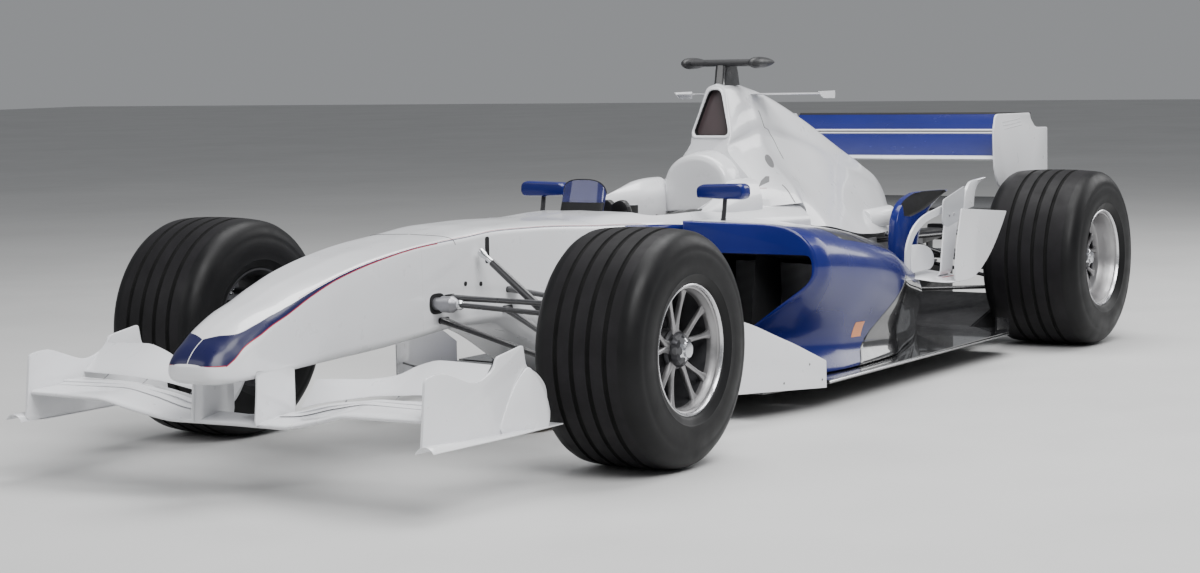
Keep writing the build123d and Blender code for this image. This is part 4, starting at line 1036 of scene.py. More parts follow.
STEER_ARM = 62
RACK_X = 1425
RACK_Z = 433
rod_end = (FRONT_AXLE_X + STEER_ARM, KINGPIN_Y, TYRE_RADIUS + 78)
rack_tube = [(RACK_X, -205, RACK_Z), (RACK_X, 205, RACK_Z)]
rack_groups = [(1, tube_part(rack_tube, 17.8, 24, 1, (1, 0, 0)))]
for side in (1, -1):
    boss = lathe_part([(-50, 0.1), (-50, 19), (-48, 22.5), (-14, 23), (-10, 20), (2, 13), (8, 11),
                       (10, 0.1)], (RACK_X, side * 214, RACK_Z), "y", 32, side)
    rack_groups.append((1, boss))
    rack_groups.append((2, ball_part((RACK_X, side * 224, RACK_Z), 14)))
    outer_end = (rod_end[0], side * (rod_end[1] - 16), rod_end[2])
    rack_groups.append((0, arm_part((RACK_X - 1, side * 230, RACK_Z), outer_end, 31, 14.5, 9, 0.0)))
    collar = lathe_part([(-6, 10), (-6, 15), (-4, 17), (4, 17), (6, 15), (6, 10)],
                        (rod_end[0], side * rod_end[1], rod_end[2]), "z", 28)
    rack_groups.append((1, collar))
grouped_piece("steering_rack_skin", rack_groups, "carbon_gloss", [ARM_CARBON, ALLOY, BRIGHT],
              body="rack",
              replaces=("steering_rack",))

# Flat dark patches on the tub's flank where the arms go in: painted shade standing in for the
# openings
# x, z, half width, half height
MOUTHS = ((1420, RACK_Z, 34, 29), (1197, 566, 9, 38), (1294, 478, 6.5, 6.5), (1227, 472, 6.5, 6.5),
          *((x, z, 24, 9) for _, ends in WISHBONES for x, _, z in ends))
mouth_shade_parts = []
for side in (1, -1):
    for x, z, wide, high in MOUTHS:
        shape = loop(((x - wide, z - high), (x + wide, z - high), (x + wide, z + high),
                      (x - wide, z + high)),
                     min(wide, high) * 0.9, 5)
        rings = []
        for grow, out in ((1.0, -5), (1.0, 0.7), (0.9, 0.9)):
            ring = []
            for a, b in shape:
                ha = x + (a - x) * grow
                hb = z + (b - z) * grow
                (flank_y, flank_z), (crease_y, crease_z) = tub_half(ha)[2:4]
                s = (hb - flank_z) / (crease_z - flank_z)
                ring.append((ha, side * (flank_y + (crease_y - flank_y) * s + out), hb))
            rings.append(ring)
        mouth_shade_parts.append(lofted(rings, True, True))
mesh_piece("arm_mouths", merged(mouth_shade_parts), "carbon_matt", BLACK_AND_PAINTED_SHADE, sharp=40)


# Cockpit

# x, inner y, outer y, foot z, top z
COLLAR_ROWS = ((60, 205, 217, 592, 606), (0, 202, 222, 590, 622), (-60, 197, 228, 590, 640),
               (-120, 174, 231, 588, 656), (-160, 142, 232, 586, 668), (-205, 126, 232, 584, 680),
               (-255, 120, 232, 582, 686), (-300, 118, 232, 580, 688), (-346, 118, 230, 580, 688))


def collar_rings(side):
    """The padded collar's sections along one side of the opening."""
    rings = []
    for x, inner, outer, foot_z, top in COLLAR_ROWS:
        high = top - foot_z
        shape = loop(((inner, foot_z - 30), (outer, foot_z - 30), (outer + 2, foot_z + high * 0.45),
                      (outer - 22, top), (inner + (outer - inner) * 0.35, top + 3),
                      (inner, foot_z + high * 0.62)),
                     (2, 2, 26, 24, 18, 24), 4)
        rings.append([(x, side * a, b) for a, b in shape])
    return rings


collar_parts = [lofted(collar_rings(side)) for side in (1, -1)]
arch = [(124 * math.cos(a), 668 + 103 * math.sin(a)) for a in np.linspace(0, math.pi, 33)]
arch = [(124, 572), (124, 620)] + arch + [(-124, 620), (-124, 572)]
arch_rings = []
for x, grow in ((-300.5, 0.6), (-299.5, 0.82), (-300, 0.87), (-302, 0.92), (-306, 0.96),
                (-312, 0.99), (-322, 1.012), (-340, 1.03), (-384, 1.05), (-430, 1.06)):
    arch_rings.append([(x, a * grow, 640 + (b - 640) * grow) for a, b in arch])
mesh_piece("cockpit_surround_skin", merged(collar_parts + [lofted(arch_rings)]), "body_white",
           WHITE, sharp=38, replaces=("cockpit_surround",))

# Black padding along the rim, with a scalloped pale edge
pad_parts = []
for side in (1, -1):
    rings = []
    for t in np.linspace(0, 1, 40):
        x = 280 - 380 * t
        y = 197 + 5 * math.sin(t * math.pi)
        bulge = 1 + 0.10 * abs(math.sin(t * math.pi * 5))
        z = 596 + 4 * math.sin(t * math.pi) * bulge
        size = 13 * bulge * min(1, 6 * t + 0.3, 6 * (1 - t) + 0.3)
        rings.append([(x, side * (y + size * math.cos(a)), z - 6 + size * 1.3 * math.sin(a))
                      for a in np.linspace(0, 2 * math.pi, 14, endpoint=False)])
    pad_parts.append(lofted(rings))
rim_pad = mesh_piece("cockpit_rim_pads", merged(pad_parts), "lining", PAD, sharp=60)

# Windscreen: a low tinted visor with a black foot in front of the opening. The foot is partly a
# black mounting and partly painted shade for the dark cockpit seen through the glass
SCREEN_FOOT = 614
SCREEN_BEND = 652
SCREEN_DARK_FOOT_TOP = 645
SCREEN_LEAN = 27


def screen_place(t):
    """The screen's line across the car: x, y and the height of its edge. t runs from -1 to 1."""
    return 440 - 9 * abs(t) ** 2.2, 78 * math.sin(t * math.pi / 2 * 0.98), 722 - 42 * abs(t) ** 2.6


screen_rings = []
for t in np.linspace(-1, 1, 33):
    x, y, top = screen_place(t)
    bend_x = x - SCREEN_LEAN * (SCREEN_BEND - SCREEN_FOOT) / (top - SCREEN_FOOT)
    edge_x = x - SCREEN_LEAN
    section = [(x, SCREEN_FOOT), (bend_x, SCREEN_BEND), (edge_x, top), (edge_x - 3, top - 1),
               (bend_x - 3.4, SCREEN_BEND), (x - 3.4, SCREEN_FOOT)]
    screen_rings.append([(a, y, b) for a, b in section])
verts, faces = lofted(screen_rings)
# Faces below this height take the black paint: painted shade for the cockpit behind the glass
kinds = [int(np.mean(verts[list(face)], axis=0)[2] < SCREEN_DARK_FOOT_TOP) for face in faces]
mesh_piece("windscreen_skin", (verts, faces), "screen", [SCREEN, BLACK_AND_PAINTED_SHADE], kinds,
           replaces=("windscreen",), sharp=60)
trim_line = []
for t in np.linspace(-1, 1, 41):
    x, y, top = screen_place(t)
    trim_line.append((x - 28.5, y, top + 0.5))
mesh_piece("windscreen_trim", tube_part(trim_line, 2.2, 8), "carbon_matt", BLACK_AND_PAINTED_SHADE)

# Mirrors
mirror_groups = []
for side in (1, -1):
    rings = []
    for x, grow in ((139, 0.55), (138, 0.8), (133, 0.94), (120, 1.0), (100, 1.0), (88, 0.96),
                    (85.5, 0.9), (88, 0.86)):
        shape = loop(((248, 652), (300, 649), (410, 647), (419, 662), (417, 690), (404, 699),
                      (262, 695), (247, 682)),
                     (8, 30, 10, 8, 8, 12, 12, 8), 4)
        rings.append([(x, side * (333 + (a - 333) * (1 - (1 - grow) * 0.25)),
                       673 + (b - 673) * grow) for a, b in shape])
    mirror_groups.append((0, lofted(rings, True, False)))
    front_cap = [(139, p[1], p[2]) for p in rings[0]]
    mirror_groups.append((0, (np.array(front_cap), [tuple(range(len(front_cap)))])))
    face = [(88.5, p[1], p[2]) for p in rings[-1]]
    mirror_groups.append((1, (np.array(face), [tuple(range(len(face)))])))
    stem_rings = []
    for z, front, rear in ((576, 148, 108), (590, 143, 109), (620, 134, 104), (652, 128, 99)):
        shape = loop(((front, 0), ((front + rear) / 2, 8.0), (rear, 0), ((front + rear) / 2, -8.0)),
                     6, 3)
        stem_rings.append([(a, side * (341 + b), z) for a, b in shape])
    mirror_groups.append((2, lofted(stem_rings)))
grouped_piece("mirrors_skin", mirror_groups, "body_blue", [DEEP_BLUE, MIRROR, MATT_CARBON],
              replaces=("mirrors",), sharp=40)

# Seat: a moulded bucket with belts
seat_path = ((-262, 560), (-252, 470), (-232, 360), (-200, 250), (-150, 165), (-70, 128), (40, 122),
             (150, 150), (285, 210))
SEAT_STEPS = 30
seat_line = along([(a, 0, b) for a, b in seat_path], SEAT_STEPS)
seat_rings = []
for t, k in zip(np.linspace(0, 1, SEAT_STEPS), seat_line):
    wide = 150 - 14 * t
    depth = 64 * (1 - 0.75 * t ** 2) + 20
    lean = (0.92, 0.38) if t < 0.35 else (0.5, 0.87) if t < 0.55 else (0.05, 1.0)
    row = []
    for u in np.linspace(-1, 1, 25):
        rise = depth * (abs(u) ** 3.2)
        row.append((k[0] + lean[0] * rise, wide * math.sin(u * math.pi / 2),
                    k[2] + lean[1] * rise + 3))
    seat_rings.append(row)
seat = mesh_piece("seat_skin", lofted(seat_rings, closed=False, caps=False), "lining", PAD,
                  sharp=70, replaces=("seat",))
apply(seat, ("SOLIDIFY", {"thickness": 0.006, "offset": -1}),
      ("SUBSURF", {"levels": 1, "render_levels": 1}))
smooth(seat, 70)


def belt_part(points, width, thickness=2.2, across=(0, 1, 0)):
    """A flat strap through points."""
    p = along(points, 22)
    rings = []
    for i, here in enumerate(p):
        way = p[min(i + 1, len(p) - 1)] - p[max(i - 1, 0)]
        way = way / np.linalg.norm(way)
        side = np.array(across, float) - way * np.dot(across, way)
        side /= np.linalg.norm(side)
        up = np.cross(way, side)
        rings.append([here + side * a * width / 2 + up * b * thickness / 2
                      for a, b in ((-1, -1), (-1, 1), (1, 1), (1, -1))])
    return lofted(rings)


belts = []
for side in (1, -1):
    belts.append(belt_part(((-250, side * 62, 566), (-238, side * 64, 520), (-214, side * 56, 410),
                            (-168, side * 34, 290), (-120, side * 14, 208)), 46))
    belts.append(belt_part(((-150, side * 140, 250), (-138, side * 96, 196),
                            (-118, side * 20, 190)), 44, 2.2, (0.6, 0, 0.8)))
belts.append(belt_part(((-112, 0, 196), (-40, 0, 150), (40, 0, 136)), 40))
mesh_piece("seat_belts", merged(belts), "lining", BELT, sharp=50)
buckle = lathe_part([(0, 0.1), (0, 22), (6, 24), (12, 20), (14, 8), (14, 0.1)], (0, 0, 0), "z", 30)
buckle = moved(turned(buckle, math.radians(50)), (-124, 0, 204))
mesh_piece("belt_buckle", buckle, "shaft_steel", STEEL)

# Steering wheel: a flat-bottomed butterfly with grips, a small display and round keys
half_w, half_h = 122, 75
wheel_shape = loop(((-half_w, 44), (-half_w + 14, half_h), (-half_w + 44, half_h),
                    (-62, half_h - 13), (-50, half_h), (50, half_h), (62, half_h - 13),
                    (half_w - 44, half_h), (half_w - 14, half_h), (half_w, 44), (half_w, -30),
                    (half_w - 24, -half_h), (half_w - 60, -half_h), (60, -34), (-60, -34),
                    (-half_w + 60, -half_h), (-half_w + 24, -half_h), (-half_w, -30)),
                   (18, 16, 14, 6, 6, 6, 6, 14, 16, 18, 18, 18, 6, 10, 10, 6, 18, 18), 4)


def column(x, y, z):
    """From the wheel's own axes (back along the column, left, up) into the car's frame."""
    c, s = math.cos(COLUMN_TILT), math.sin(COLUMN_TILT)
    return (325 - x * c + z * s, y, 580 + x * s + z * c)


wheel_rings = []
for back, grow in ((-13, 0.93), (-11, 0.99), (-4, 1.0), (6, 1.0), (11, 0.985), (13.5, 0.94)):
    wheel_rings.append([column(back, a * grow, b * grow) for a, b in wheel_shape])
wheel_groups = [(0, lofted(wheel_rings))]
for side in (1, -1):
    grip = [column(0, side * (half_w - 13), z) for z in np.linspace(-64, 56, 9)]
    radii = [12, 16, 17, 15.5, 16.5, 17, 16, 15, 11]
    wheel_groups.append((1, tube_part(grip, radii, 16, 0.95, (1, 0, 0))))
    paddle = lofted([[column(-22 + d, side * a, b)
                      for a, b in loop(((52, 20), (112, 34), (118, 4), (60, -14)), 10, 3)]
                     for d in (-2, 2)])
    wheel_groups.append((2, paddle))
for y, z in ((-72, 30), (-72, 6), (72, 30), (72, 6), (-48, -16), (48, -16), (-92, 44), (92, 44),
             (-20, -22), (20, -22)):
    key = lathe_part([(0, 0.1), (0, 7), (3, 7), (5.5, 5.5), (5.5, 0.1)], (0, 0, 0), "x", 16)
    kv = np.array([column(12 + p[0], y + p[1], z + p[2]) for p in key[0]])
    wheel_groups.append((3, (kv, key[1])))
screen_shape = loop(((-44, 46), (44, 46), (44, 20), (-44, 20)), 5, 3)
wheel_groups.append((4, lofted([[column(d, a, b) for a, b in screen_shape] for d in (12, 15.5)])))
shaft = [column(-8, 0, 0), column(-30, 0, 0), column(-260, 0, 0)]
wheel_groups.append((5, tube_part(shaft, [26, 13.9, 13.9], 24, 1, (0, 1, 0))))
grouped_piece("steering_wheel_skin", wheel_groups, "carbon_matt",
              [MATT_CARBON, PAD, STEEL, ORANGE, GLOSS_CARBON, STEEL], body="steering_wheel",
              replaces=("steering_wheel",), sharp=40)


# Sidepods

# x, inner y, foot half, foot z, tuck half, tuck z, belly half, belly z,
# shoulder half, shoulder z, top half, top z, inner z
POD_ROWS = (
    (262, 266, 420, 91, 400, 200, 684, 400, 676, 498, 600, 574, 588),
    (110, 266, 590, 91, 500, 190, 696, 392, 690, 500, 616, 566, 584),
    (-180, 266, 650, 91, 590, 170, 694, 370, 688, 470, 600, 536, 566),
    (-480, 266, 640, 91, 600, 160, 670, 330, 662, 420, 570, 486, 530),
    (-760, 266, 560, 91, 545, 150, 590, 280, 582, 360, 500, 420, 480),
    (-1010, 266, 480, 91, 470, 140, 510, 240, 500, 312, 430, 366, 430),
    (-1200, 240, 400, 91, 395, 130, 420, 200, 412, 262, 360, 312, 360),
    (-1420, 150, 300, 91, 296, 120, 310, 170, 302, 214, 270, 250, 290),
)
POD_EASE = (0, 22, 70, 90, 50, 90, 0)
# The inlet's duct: x, floor z, floor's outer y, outer y, outer z, top z
DUCT_ROWS = ((290, 214, 436, 668, 406, 494), (200, 222, 452, 668, 402, 484),
             (0, 230, 500, 650, 372, 462), (-68, 232, 520, 640, 360, 448))
POD_LIP_X = 262
POD_SWEEP = 0.27
POD_SWEEP_END = 60


def pod_corners(x):
    """The left pod's section at x, from the inner foot round the outside to the inner top."""
    inner, foot, fz, tuck, tz, belly, bz, shoulder, sz, top, pz, iz = between(POD_ROWS, x)
    return [(inner, fz), (foot, fz), (tuck, tz), (belly, bz), (shoulder, sz), (top, pz),
            (inner, iz)]


def pod_sweep(x, y):
    """The front is swept back towards the outside, and the sweep fades behind the lip."""
    share = max(0.0, min(1.0, (x - POD_SWEEP_END) / (POD_LIP_X - POD_SWEEP_END)))
    return x - POD_SWEEP * share * max(y - 266, 0)


def pod_ring(x, side=1, inset=0.0):
    points = profile(pod_corners(x), POD_EASE, 7)
    if inset:
        points = shrunk(points, inset, (430, 380))
    return [(pod_sweep(x, a), side * a, b) for a, b in points]


def build_pod(word, side):
    stations = [(262, 9), (261, 5), (258, 2), (253, 0)]
    stations += [(x, 0) for x in np.linspace(244, -1420, 96)]
    rings = [pod_ring(x, side, inset) for x, inset in stations]
    pod = mesh_piece(f"sidepod_{word}_skin", lofted(rings), "body_blue", DEEP_BLUE, sharp=40,
                     replaces=(f"sidepod_{word}",))
    duct = []
    for x, low, outer_low, outer, outer_z, top in DUCT_ROWS:
        corners = ((292, low), (outer_low, low + 12), (outer, outer_z), (outer - 6, top - 8),
                   (292, top))
        shape = loop(corners, (20, 60, 40, 22, 16), 5)
        swept = POD_SWEEP * max(min((x - POD_SWEEP_END) / 200, 1), 0)
        duct.append([(x - swept * (a - 266), side * a, b) for a, b in shape])
    cut(pod, duct, BLACK_AND_PAINTED_SHADE, 40)


for word, side in SIDES:
    build_pod(word, side)

# A splitter plate stands in each inlet, and thin panel lines cross the black deck
inlet_parts = []
for side in (1, -1):
    rings = []
    for t in np.linspace(0, 1, 7):
        rings.append([(196 - 60 * t + d, side * (470 - 10 * t + w), 236 + 240 * t)
                      for d, w in ((0, 0), (-12, 2), (-190, 2), (-190, -2), (-12, -2))])
    inlet_parts.append(lofted(rings))
mesh_piece("inlet_splitters", merged(inlet_parts), "carbon_matt", BLACK_AND_PAINTED_SHADE, sharp=50)


def pod_point(x, s, side=1, lift=0.0):
    """A point on the pod's skin. s = 3 is the belly, 4 the shoulder and 5 the top."""
    here = profile_point(pod_corners(x), POD_EASE, min(s, 5.999))
    a = profile_point(pod_corners(x), POD_EASE, max(s - 0.02, 0))
    b = profile_point(pod_corners(x), POD_EASE, min(s + 0.02, 5.999))
    way = b - a
    out = np.array([way[1], -way[0]]) / max(np.linalg.norm(way), 1e-9)
    here = here + out * lift
    return (pod_sweep(x, here[0]), side * here[0], here[1])


def pod_band(route_front, end_x, low, high, side, rows=70, cols=14, lift=0.7):
    """A band on the pod's skin between two s, its rim let in."""
    shares = [low, *np.linspace(low + 0.004, high - 0.004, cols), high]
    fronts = [route_front(s) for s in shares]
    grid = []
    for i, t in enumerate([0, *np.linspace(0.002, 0.998, rows), 1]):
        line = []
        for k, s in enumerate(shares):
            inside = 0 < k < len(shares) - 1 and 0 < i < rows + 1
            x = fronts[k] + (end_x - fronts[k]) * t
            line.append(pod_point(x, s, side, lift if inside else -0.8))
        grid.append(line)
    part = lofted(grid, closed=False, caps=False)
    return part if side > 0 else (part[0], [face[::-1] for face in part[1]])


# The lower flanks' weave starts behind a slanted line from this foot, and the bands end together
WEAVE_FOOT_X = -255
WEAVE_FOOT_Z = 120
WEAVE_SLOPE = 1.35
BAND_END_X = -1415


def deck_front(s):
    return -35 - 60 * (5.4 - min(s, 5.4))


def shoulder_front(s):
    return 215 - 30 * (5.965 - s)


def weave_front(s):
    """Where a slanted line down the pod's side crosses its section at s."""
    x = -400.0
    for _ in range(8):
        z = pod_point(x, s)[2]
        x = 0.5 * x + 0.5 * (WEAVE_FOOT_X - WEAVE_SLOPE * (z - WEAVE_FOOT_Z))
    return x


deck_parts = [pod_band(deck_front, BAND_END_X, 4.35, 5.93, side) for side in (1, -1)]
weave_parts = [pod_band(weave_front, BAND_END_X, 0.05, 3.55, side, 60, 40) for side in (1, -1)]
shoulder_parts = [pod_band(shoulder_front, -430, 5.12, 5.965, side, 60, 12, 1.6)
                  for side in (1, -1)]
mesh_piece("sidepod_decks", merged(deck_parts), "body_blue", DECK_CARBON, sharp=60)
mesh_piece("sidepod_shoulders", merged(shoulder_parts), "body_white", WHITE, sharp=60)
mesh_piece("sidepod_lower_flanks", merged(weave_parts), "body_blue", GLOSS_CARBON, sharp=60)

line_parts = []
for side in (1, -1):
    for start, end, bow in ((-150, -300, 40), (-330, -520, 50), (-560, -760, 50)):
        route = [pod_point(start + (end - start) * t + bow * math.sin(t * math.pi), 5.85 - 1.35 * t,
                           side, 0.9)
                 for t in np.linspace(0, 1, 26)]
        line_parts.append(tube_part(route, 0.9, 6, 0.5))
mesh_piece("pod_panel_lines", merged(line_parts), "carbon_gloss", MATT_CARBON)

mark_parts = []
for side in (1, -1):
    rows = [[pod_point(x, s, side, 0.8) for s in np.linspace(2.05, 2.32, 6)]
            for x in np.linspace(-232, -296, 8)]
    mark_parts.append(lofted(rows, closed=False, caps=False))
mesh_piece("orange_marks", merged(mark_parts), "body_blue", ORANGE)


# Engine cover

# x, foot half, z, hip half, z, waist half, z, neck half, z, airbox's low half, z, high half, z,
# crown z
COVER_ROWS = (
    (-384, 214, 592, 205, 640, 128, 722, 70, 784, 80, 826, 38, 990, 1003),
    (-430, 218, 591, 207, 640, 126, 730, 72, 796, 82, 838, 38, 992, 1004),
    (-500, 224, 590, 207, 640, 118, 738, 72, 806, 78, 852, 36, 990, 1004),
    (-560, 228, 590, 205, 640, 112, 740, 70, 812, 72, 868, 31, 986, 1001),
    (-640, 236, 590, 200, 640, 104, 740, 66, 820, 64, 884, 25, 980, 992),
    (-668, 243, 512, 198, 634, 102, 736, 64, 815, 61, 880, 23.5, 973, 986),
    (-773, 262, 500, 190, 612, 96, 720, 58, 800, 52, 866, 18, 950, 964),
    (-1079, 250, 452, 160, 570, 84, 670, 52, 740, 44, 796, 14, 856, 868),
    (-1405, 190, 436, 118, 520, 66, 590, 44, 640, 36, 688, 11, 732, 742),
    (-1592, 138, 434, 92, 490, 55, 550, 38, 590, 30, 626, 9, 662, 670),
    (-1733, 92, 434, 64, 462, 42, 506, 30, 534, 22, 566, 8, 594, 602),
    (-1780, 74, 434, 50, 448, 34, 468, 25, 484, 18, 504, 7, 520, 526),
    (-1820, 56, 434, 42, 437, 28, 441, 20, 444, 14, 447, 6, 450, 452),
)
COVER_EASE = (0, 30, 70, 50, 40, 16, 0)
AIRBOX_FACE_X = -384
RAKE_LOW = 31
RAKE_HIGH = 68


def cover_half(x):
    """The left half of the cover's section, from the foot up to the crown."""
    row = between(COVER_ROWS, x)
    return [(row[i], row[i + 1]) for i in range(0, 12, 2)] + [(0, row[12])]


def cover_rake(x, z):
    """How far the airbox's mouth leans back at a height, fading out behind it."""
    low = RAKE_LOW * max(0.0, min(1.0, (z - 770) / 60))
    high = (RAKE_HIGH - RAKE_LOW) * max(0.0, min(1.0, (z - 829) / 160))
    fade = max(0.0, min(1.0, (x + 600) / (AIRBOX_FACE_X + 600)))
    return (low + high) * fade


def cover_ring(x, inset=0.0):
    half = profile(cover_half(x), COVER_EASE, 7)
    left = [(x - cover_rake(x, z), y - (inset if z > 800 and y > inset else 0),
             z - (inset if z > 960 else 0))
            for y, z in half]
    right = [(a, -y, z) for a, y, z in left[::-1][1:]]
    return left + right


cover_stations = [(-384, 5), (-386, 2), (-390, 0)] + [(x, 0) for x in np.linspace(-398, -1700, 84)]
cover_stations += [(x, 0) for x in np.linspace(-1708, -1820, 14)]
cover_skin = mesh_piece("engine_cover_skin",
                        lofted([cover_ring(x, inset) for x, inset in cover_stations]),
                        "body_white", WHITE, sharp=38, replaces=("engine_cover",))

# The airbox's mouth: a rounded wedge with a screen set back in it
MOUTH = ((0, 829), (60, 829), (67, 843), (27, 972), (14, 982), (0, 982))
MOUTH_EASE = (0, 10, 14, 16, 10, 0)


def mouth_ring(x, grow):
    """The mouth's outline at x, grown outwards by a length."""
    half = profile(MOUTH, MOUTH_EASE, 5)
    left = [(y * (1 + grow / 67), 905 + (z - 905) * (1 + grow / 76)) for y, z in half]
    full = left + [(-y, z) for y, z in left[::-1][1:-1]]
    return [(x - cover_rake(AIRBOX_FACE_X, z), y, z) for y, z in full]


cut(cover_skin, [mouth_ring(x, g) for x, g in ((-360, 0), (-430, 0), (-490, -14), (-530, -30))],
    BLACK_AND_PAINTED_SHADE, 38)
lip_rings = []
for a in np.linspace(0, 2 * math.pi, 10, endpoint=False):
    lip_rings.append(mouth_ring(-384 + 3 + 5.5 * math.cos(a), 4.5 + 4.5 * math.sin(a)))
lip_rings.append(lip_rings[0])
mesh_piece("airbox_lip", lofted(lip_rings, True, False), "body_white", WHITE, sharp=60)
mesh_piece("airbox_screen", lofted([mouth_ring(-404, -1), mouth_ring(-410, -1)]), "carbon_matt",
           INLET_BROWN)


def cover_point(x, s, side=1, lift=0.0):
    """A point on the cover's skin. s = 1 is the hip, 2 the waist, 3 the neck and 6 the spine."""
    here = profile_point(cover_half(x), COVER_EASE, min(s, 5.999))
    a = profile_point(cover_half(x), COVER_EASE, max(s - 0.02, 0))
    b = profile_point(cover_half(x), COVER_EASE, min(s + 0.02, 5.999))
    way = b - a
    out = np.array([way[1], -way[0]]) / max(np.linalg.norm(way), 1e-9)
    here = here + out * lift
    return (x - cover_rake(x, here[1]), side * here[0], here[1])


def cover_line(points, radius, side, lift=0.1):
    """A thin line on the cover through (x, s) points."""
    route = along([(x, s, 0) for x, s in points], 40)
    return tube_part([cover_point(x, s, side, lift) for x, s, _ in route], radius, 6)


# The routes in (x, s) and the radii of the gaps on the cover's flanks
COVER_GAPS = ((((-664, 4.2), (-678, 3.85), (-728, 3.21), (-760, 2.84), (-768, 2.11)), 1.0),
              (((-566, 1.2), (-577.5, 0.96), (-584, 0.5), (-588, 0.06)), 1.6))
cover_gaps = [cover_line(route, radius, side) for side in (1, -1) for route, radius in COVER_GAPS]
mesh_piece("cover_gaps", merged(cover_gaps), "carbon_matt", BLACK_AND_PAINTED_SHADE)


def cover_patch(outline, side, lift):
    """A small flush shape on the cover inside an outline of (x, s)."""
    middle = np.mean(np.array(outline), axis=0)
    rings = []
    for grow, out in ((1.0, -0.8), (0.97, lift), (0.8, lift), (0.6, lift), (0.4, lift),
                      (0.2, lift)):
        rings.append([cover_point(*(middle + (np.array(p) - middle) * grow), side, out)
                      for p in outline])
    return lofted(rings)


# Flat grey patches lifted off the cover: painted shade for an oval recess and a slot by the fin
recess_shade_parts = []
red_parts = []
for side in (1, -1):
    oval = [(-616 + 5.8 * math.cos(a) - 32 * math.sin(a),
             1.97 - 0.161 * math.cos(a) + 0.031 * math.sin(a))
            for a in np.linspace(0, 2 * math.pi, 28)[:-1]]
    recess_shade_parts.append(cover_patch(oval, side, 0.9))
    fin_slot = loop(((-394, 1.22), (-440, 1.49), (-495, 1.63), (-524, 1.607), (-491, 1.384)), 4, 2)
    recess_shade_parts.append(cover_patch(fin_slot, side, 1.0))
    route = [(x, 1.36 - 0.22 * t) for t, x in zip(np.linspace(0, 1, 24),
                                                  np.linspace(-200, -440, 24))]
    route = [cover_point(x, s, side, 0.1) for x, s in route if x < -392]
    red_parts.append(tube_part(route, 1.6, 6, 0.5))
mesh_piece("cover_recesses", merged(recess_shade_parts), "body_white", RECESS_SHADE_GREY, sharp=60)
mesh_piece("cover_red_pin", merged(red_parts), "body_white", STRIPE_RED, sharp=60)

# Winglets on the airbox
winglet_parts = []
for side in (1, -1):
    rings = []
    for t in np.linspace(0, 1, 16):
        y = 24 + 260.4 * t
        front = -640 - 28 * t
        rear = -762 - 23 * t
        rings.append([(a, side * y, b) for a, b in foil((front, 964.5), (rear, 961.5), 6, 1.0, 9)])
    winglet_parts.append(lofted(rings))
    outline = loop(((-664, 971), (-789, 971), (-789, 944.5), (-700, 947)), (4, 4, 6, 10), 3)
    fence = slab(list(outline), 282.3, 285.8)
    winglet_parts.append(fence if side > 0 else mirrored(fence))
mesh_piece("airbox_winglets_skin", merged(winglet_parts), "body_white", WHITE, sharp=50,
           replaces=("airbox_winglets",))

# Camera pod: a stalk with a cross bar and two teardrops
pod_groups = []
stalk = []
for z, front, rear, half in ((996, -472, -590, 23), (1008, -476, -588, 22.5),
                             (1040, -482, -582, 22), (1070, -488, -572, 21)):
    shape = loop(((front, -half), (front, half), (rear, half), (rear, -half)), 12, 4)
    stalk.append([(a, b, z) for a, b in shape])
pod_groups.append((0, lofted(stalk)))
bar = []
for y in np.linspace(-124, 124, 33):
    bend = 8 * (1 - (abs(y) / 124) ** 2)
    bar.append([(a, y, b) for a, b in foil((-480, 1073), (-590 - bend, 1073), 25, 0, 11)])
pod_groups.append((1, lofted(bar)))
tear = [(-455, 0.1), (-456.5, 4), (-460, 8.5), (-468, 13), (-482, 17), (-500, 19.3), (-524, 19.8),
        (-552, 18.6), (-580, 15.6), (-606, 10.8), (-626, 5.4), (-640, 0.1)]
for side in (1, -1):
    route = along([(x, r, 0) for x, r in tear], 40)
    section = [(x, max(r, 0.1)) for x, r, _ in route]
    pod_groups.append((1, lathe_part(section, (0, side * 130, 1073), "x", 32)))
grouped_piece("camera_pod_skin", pod_groups, "carbon_matt", [GLOSS_CARBON, MATT_CARBON], sharp=40,
              replaces=("camera_pod",))


# Chimneys

CHIMNEY_FRONT = ((-900, 352), (-903, 430), (-912, 505), (-950, 560), (-1020, 590), (-1110, 603),
                 (-1338, 598))
CHIMNEY_REAR = ((-1066, 330), (-1078, 400), (-1102, 456), (-1150, 508), (-1212, 548), (-1272, 572),
                (-1342, 593))
CHIMNEY_STEPS = 40
front_line = along([(x, 0, z) for x, z in CHIMNEY_FRONT], CHIMNEY_STEPS)
rear_line = along([(x, 0, z) for x, z in CHIMNEY_REAR], CHIMNEY_STEPS)
chimney_objects = []
for word, side in SIDES:
    rings = []
    for t, a, b in zip(np.linspace(0, 1, CHIMNEY_STEPS), front_line, rear_line):
        half = 30 * (1 - 0.35 * t ** 2)
        way = b - a
        ring = []
        for u, w in loop(((0, -half * 0.5), (0, half * 0.5), (0.16, half), (0.84, half),
                          (1, half * 0.5), (1, -half * 0.5), (0.84, -half), (0.16, -half)),
                         (1.8, 2, 6, 6, 2, 2, 6, 6), 2):
            ring.append(a + way * min(max(u, 0), 1) + np.array([0, side * (444 + w), 0]))
        rings.append(ring)
    tower = mesh_piece(f"chimney_{word}", lofted(rings), "body_blue", DEEP_BLUE, sharp=40)
    # The slanted exit, cut into the outer top
    mouth = [[(x, side * y, z) for x, z in ((-966, 596), (-1330, 612), (-1322, 588), (-1120, 540),
                                            (-1000, 522), (-950, 528))]
             for y in (452, 490)]
    cut(tower, mouth, BLACK_AND_PAINTED_SHADE, 40)
    chimney_objects.append(tower)
for tower in chimney_objects:
    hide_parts("chimneys")


# Flip-ups

FLIP_PLATE = ((-946, 558), (-1344, 525), (-1284, 459), (-1189, 377), (-1054, 309), (-880, 309),
              (-902, 434))
plate_ring = loop(FLIP_PLATE, (8, 10, 60, 60, 60, 30, 60), 5)
flip_parts = []
flip_plate = slab(list(plate_ring), 685, 690)
flip_parts.append((0, flip_plate))

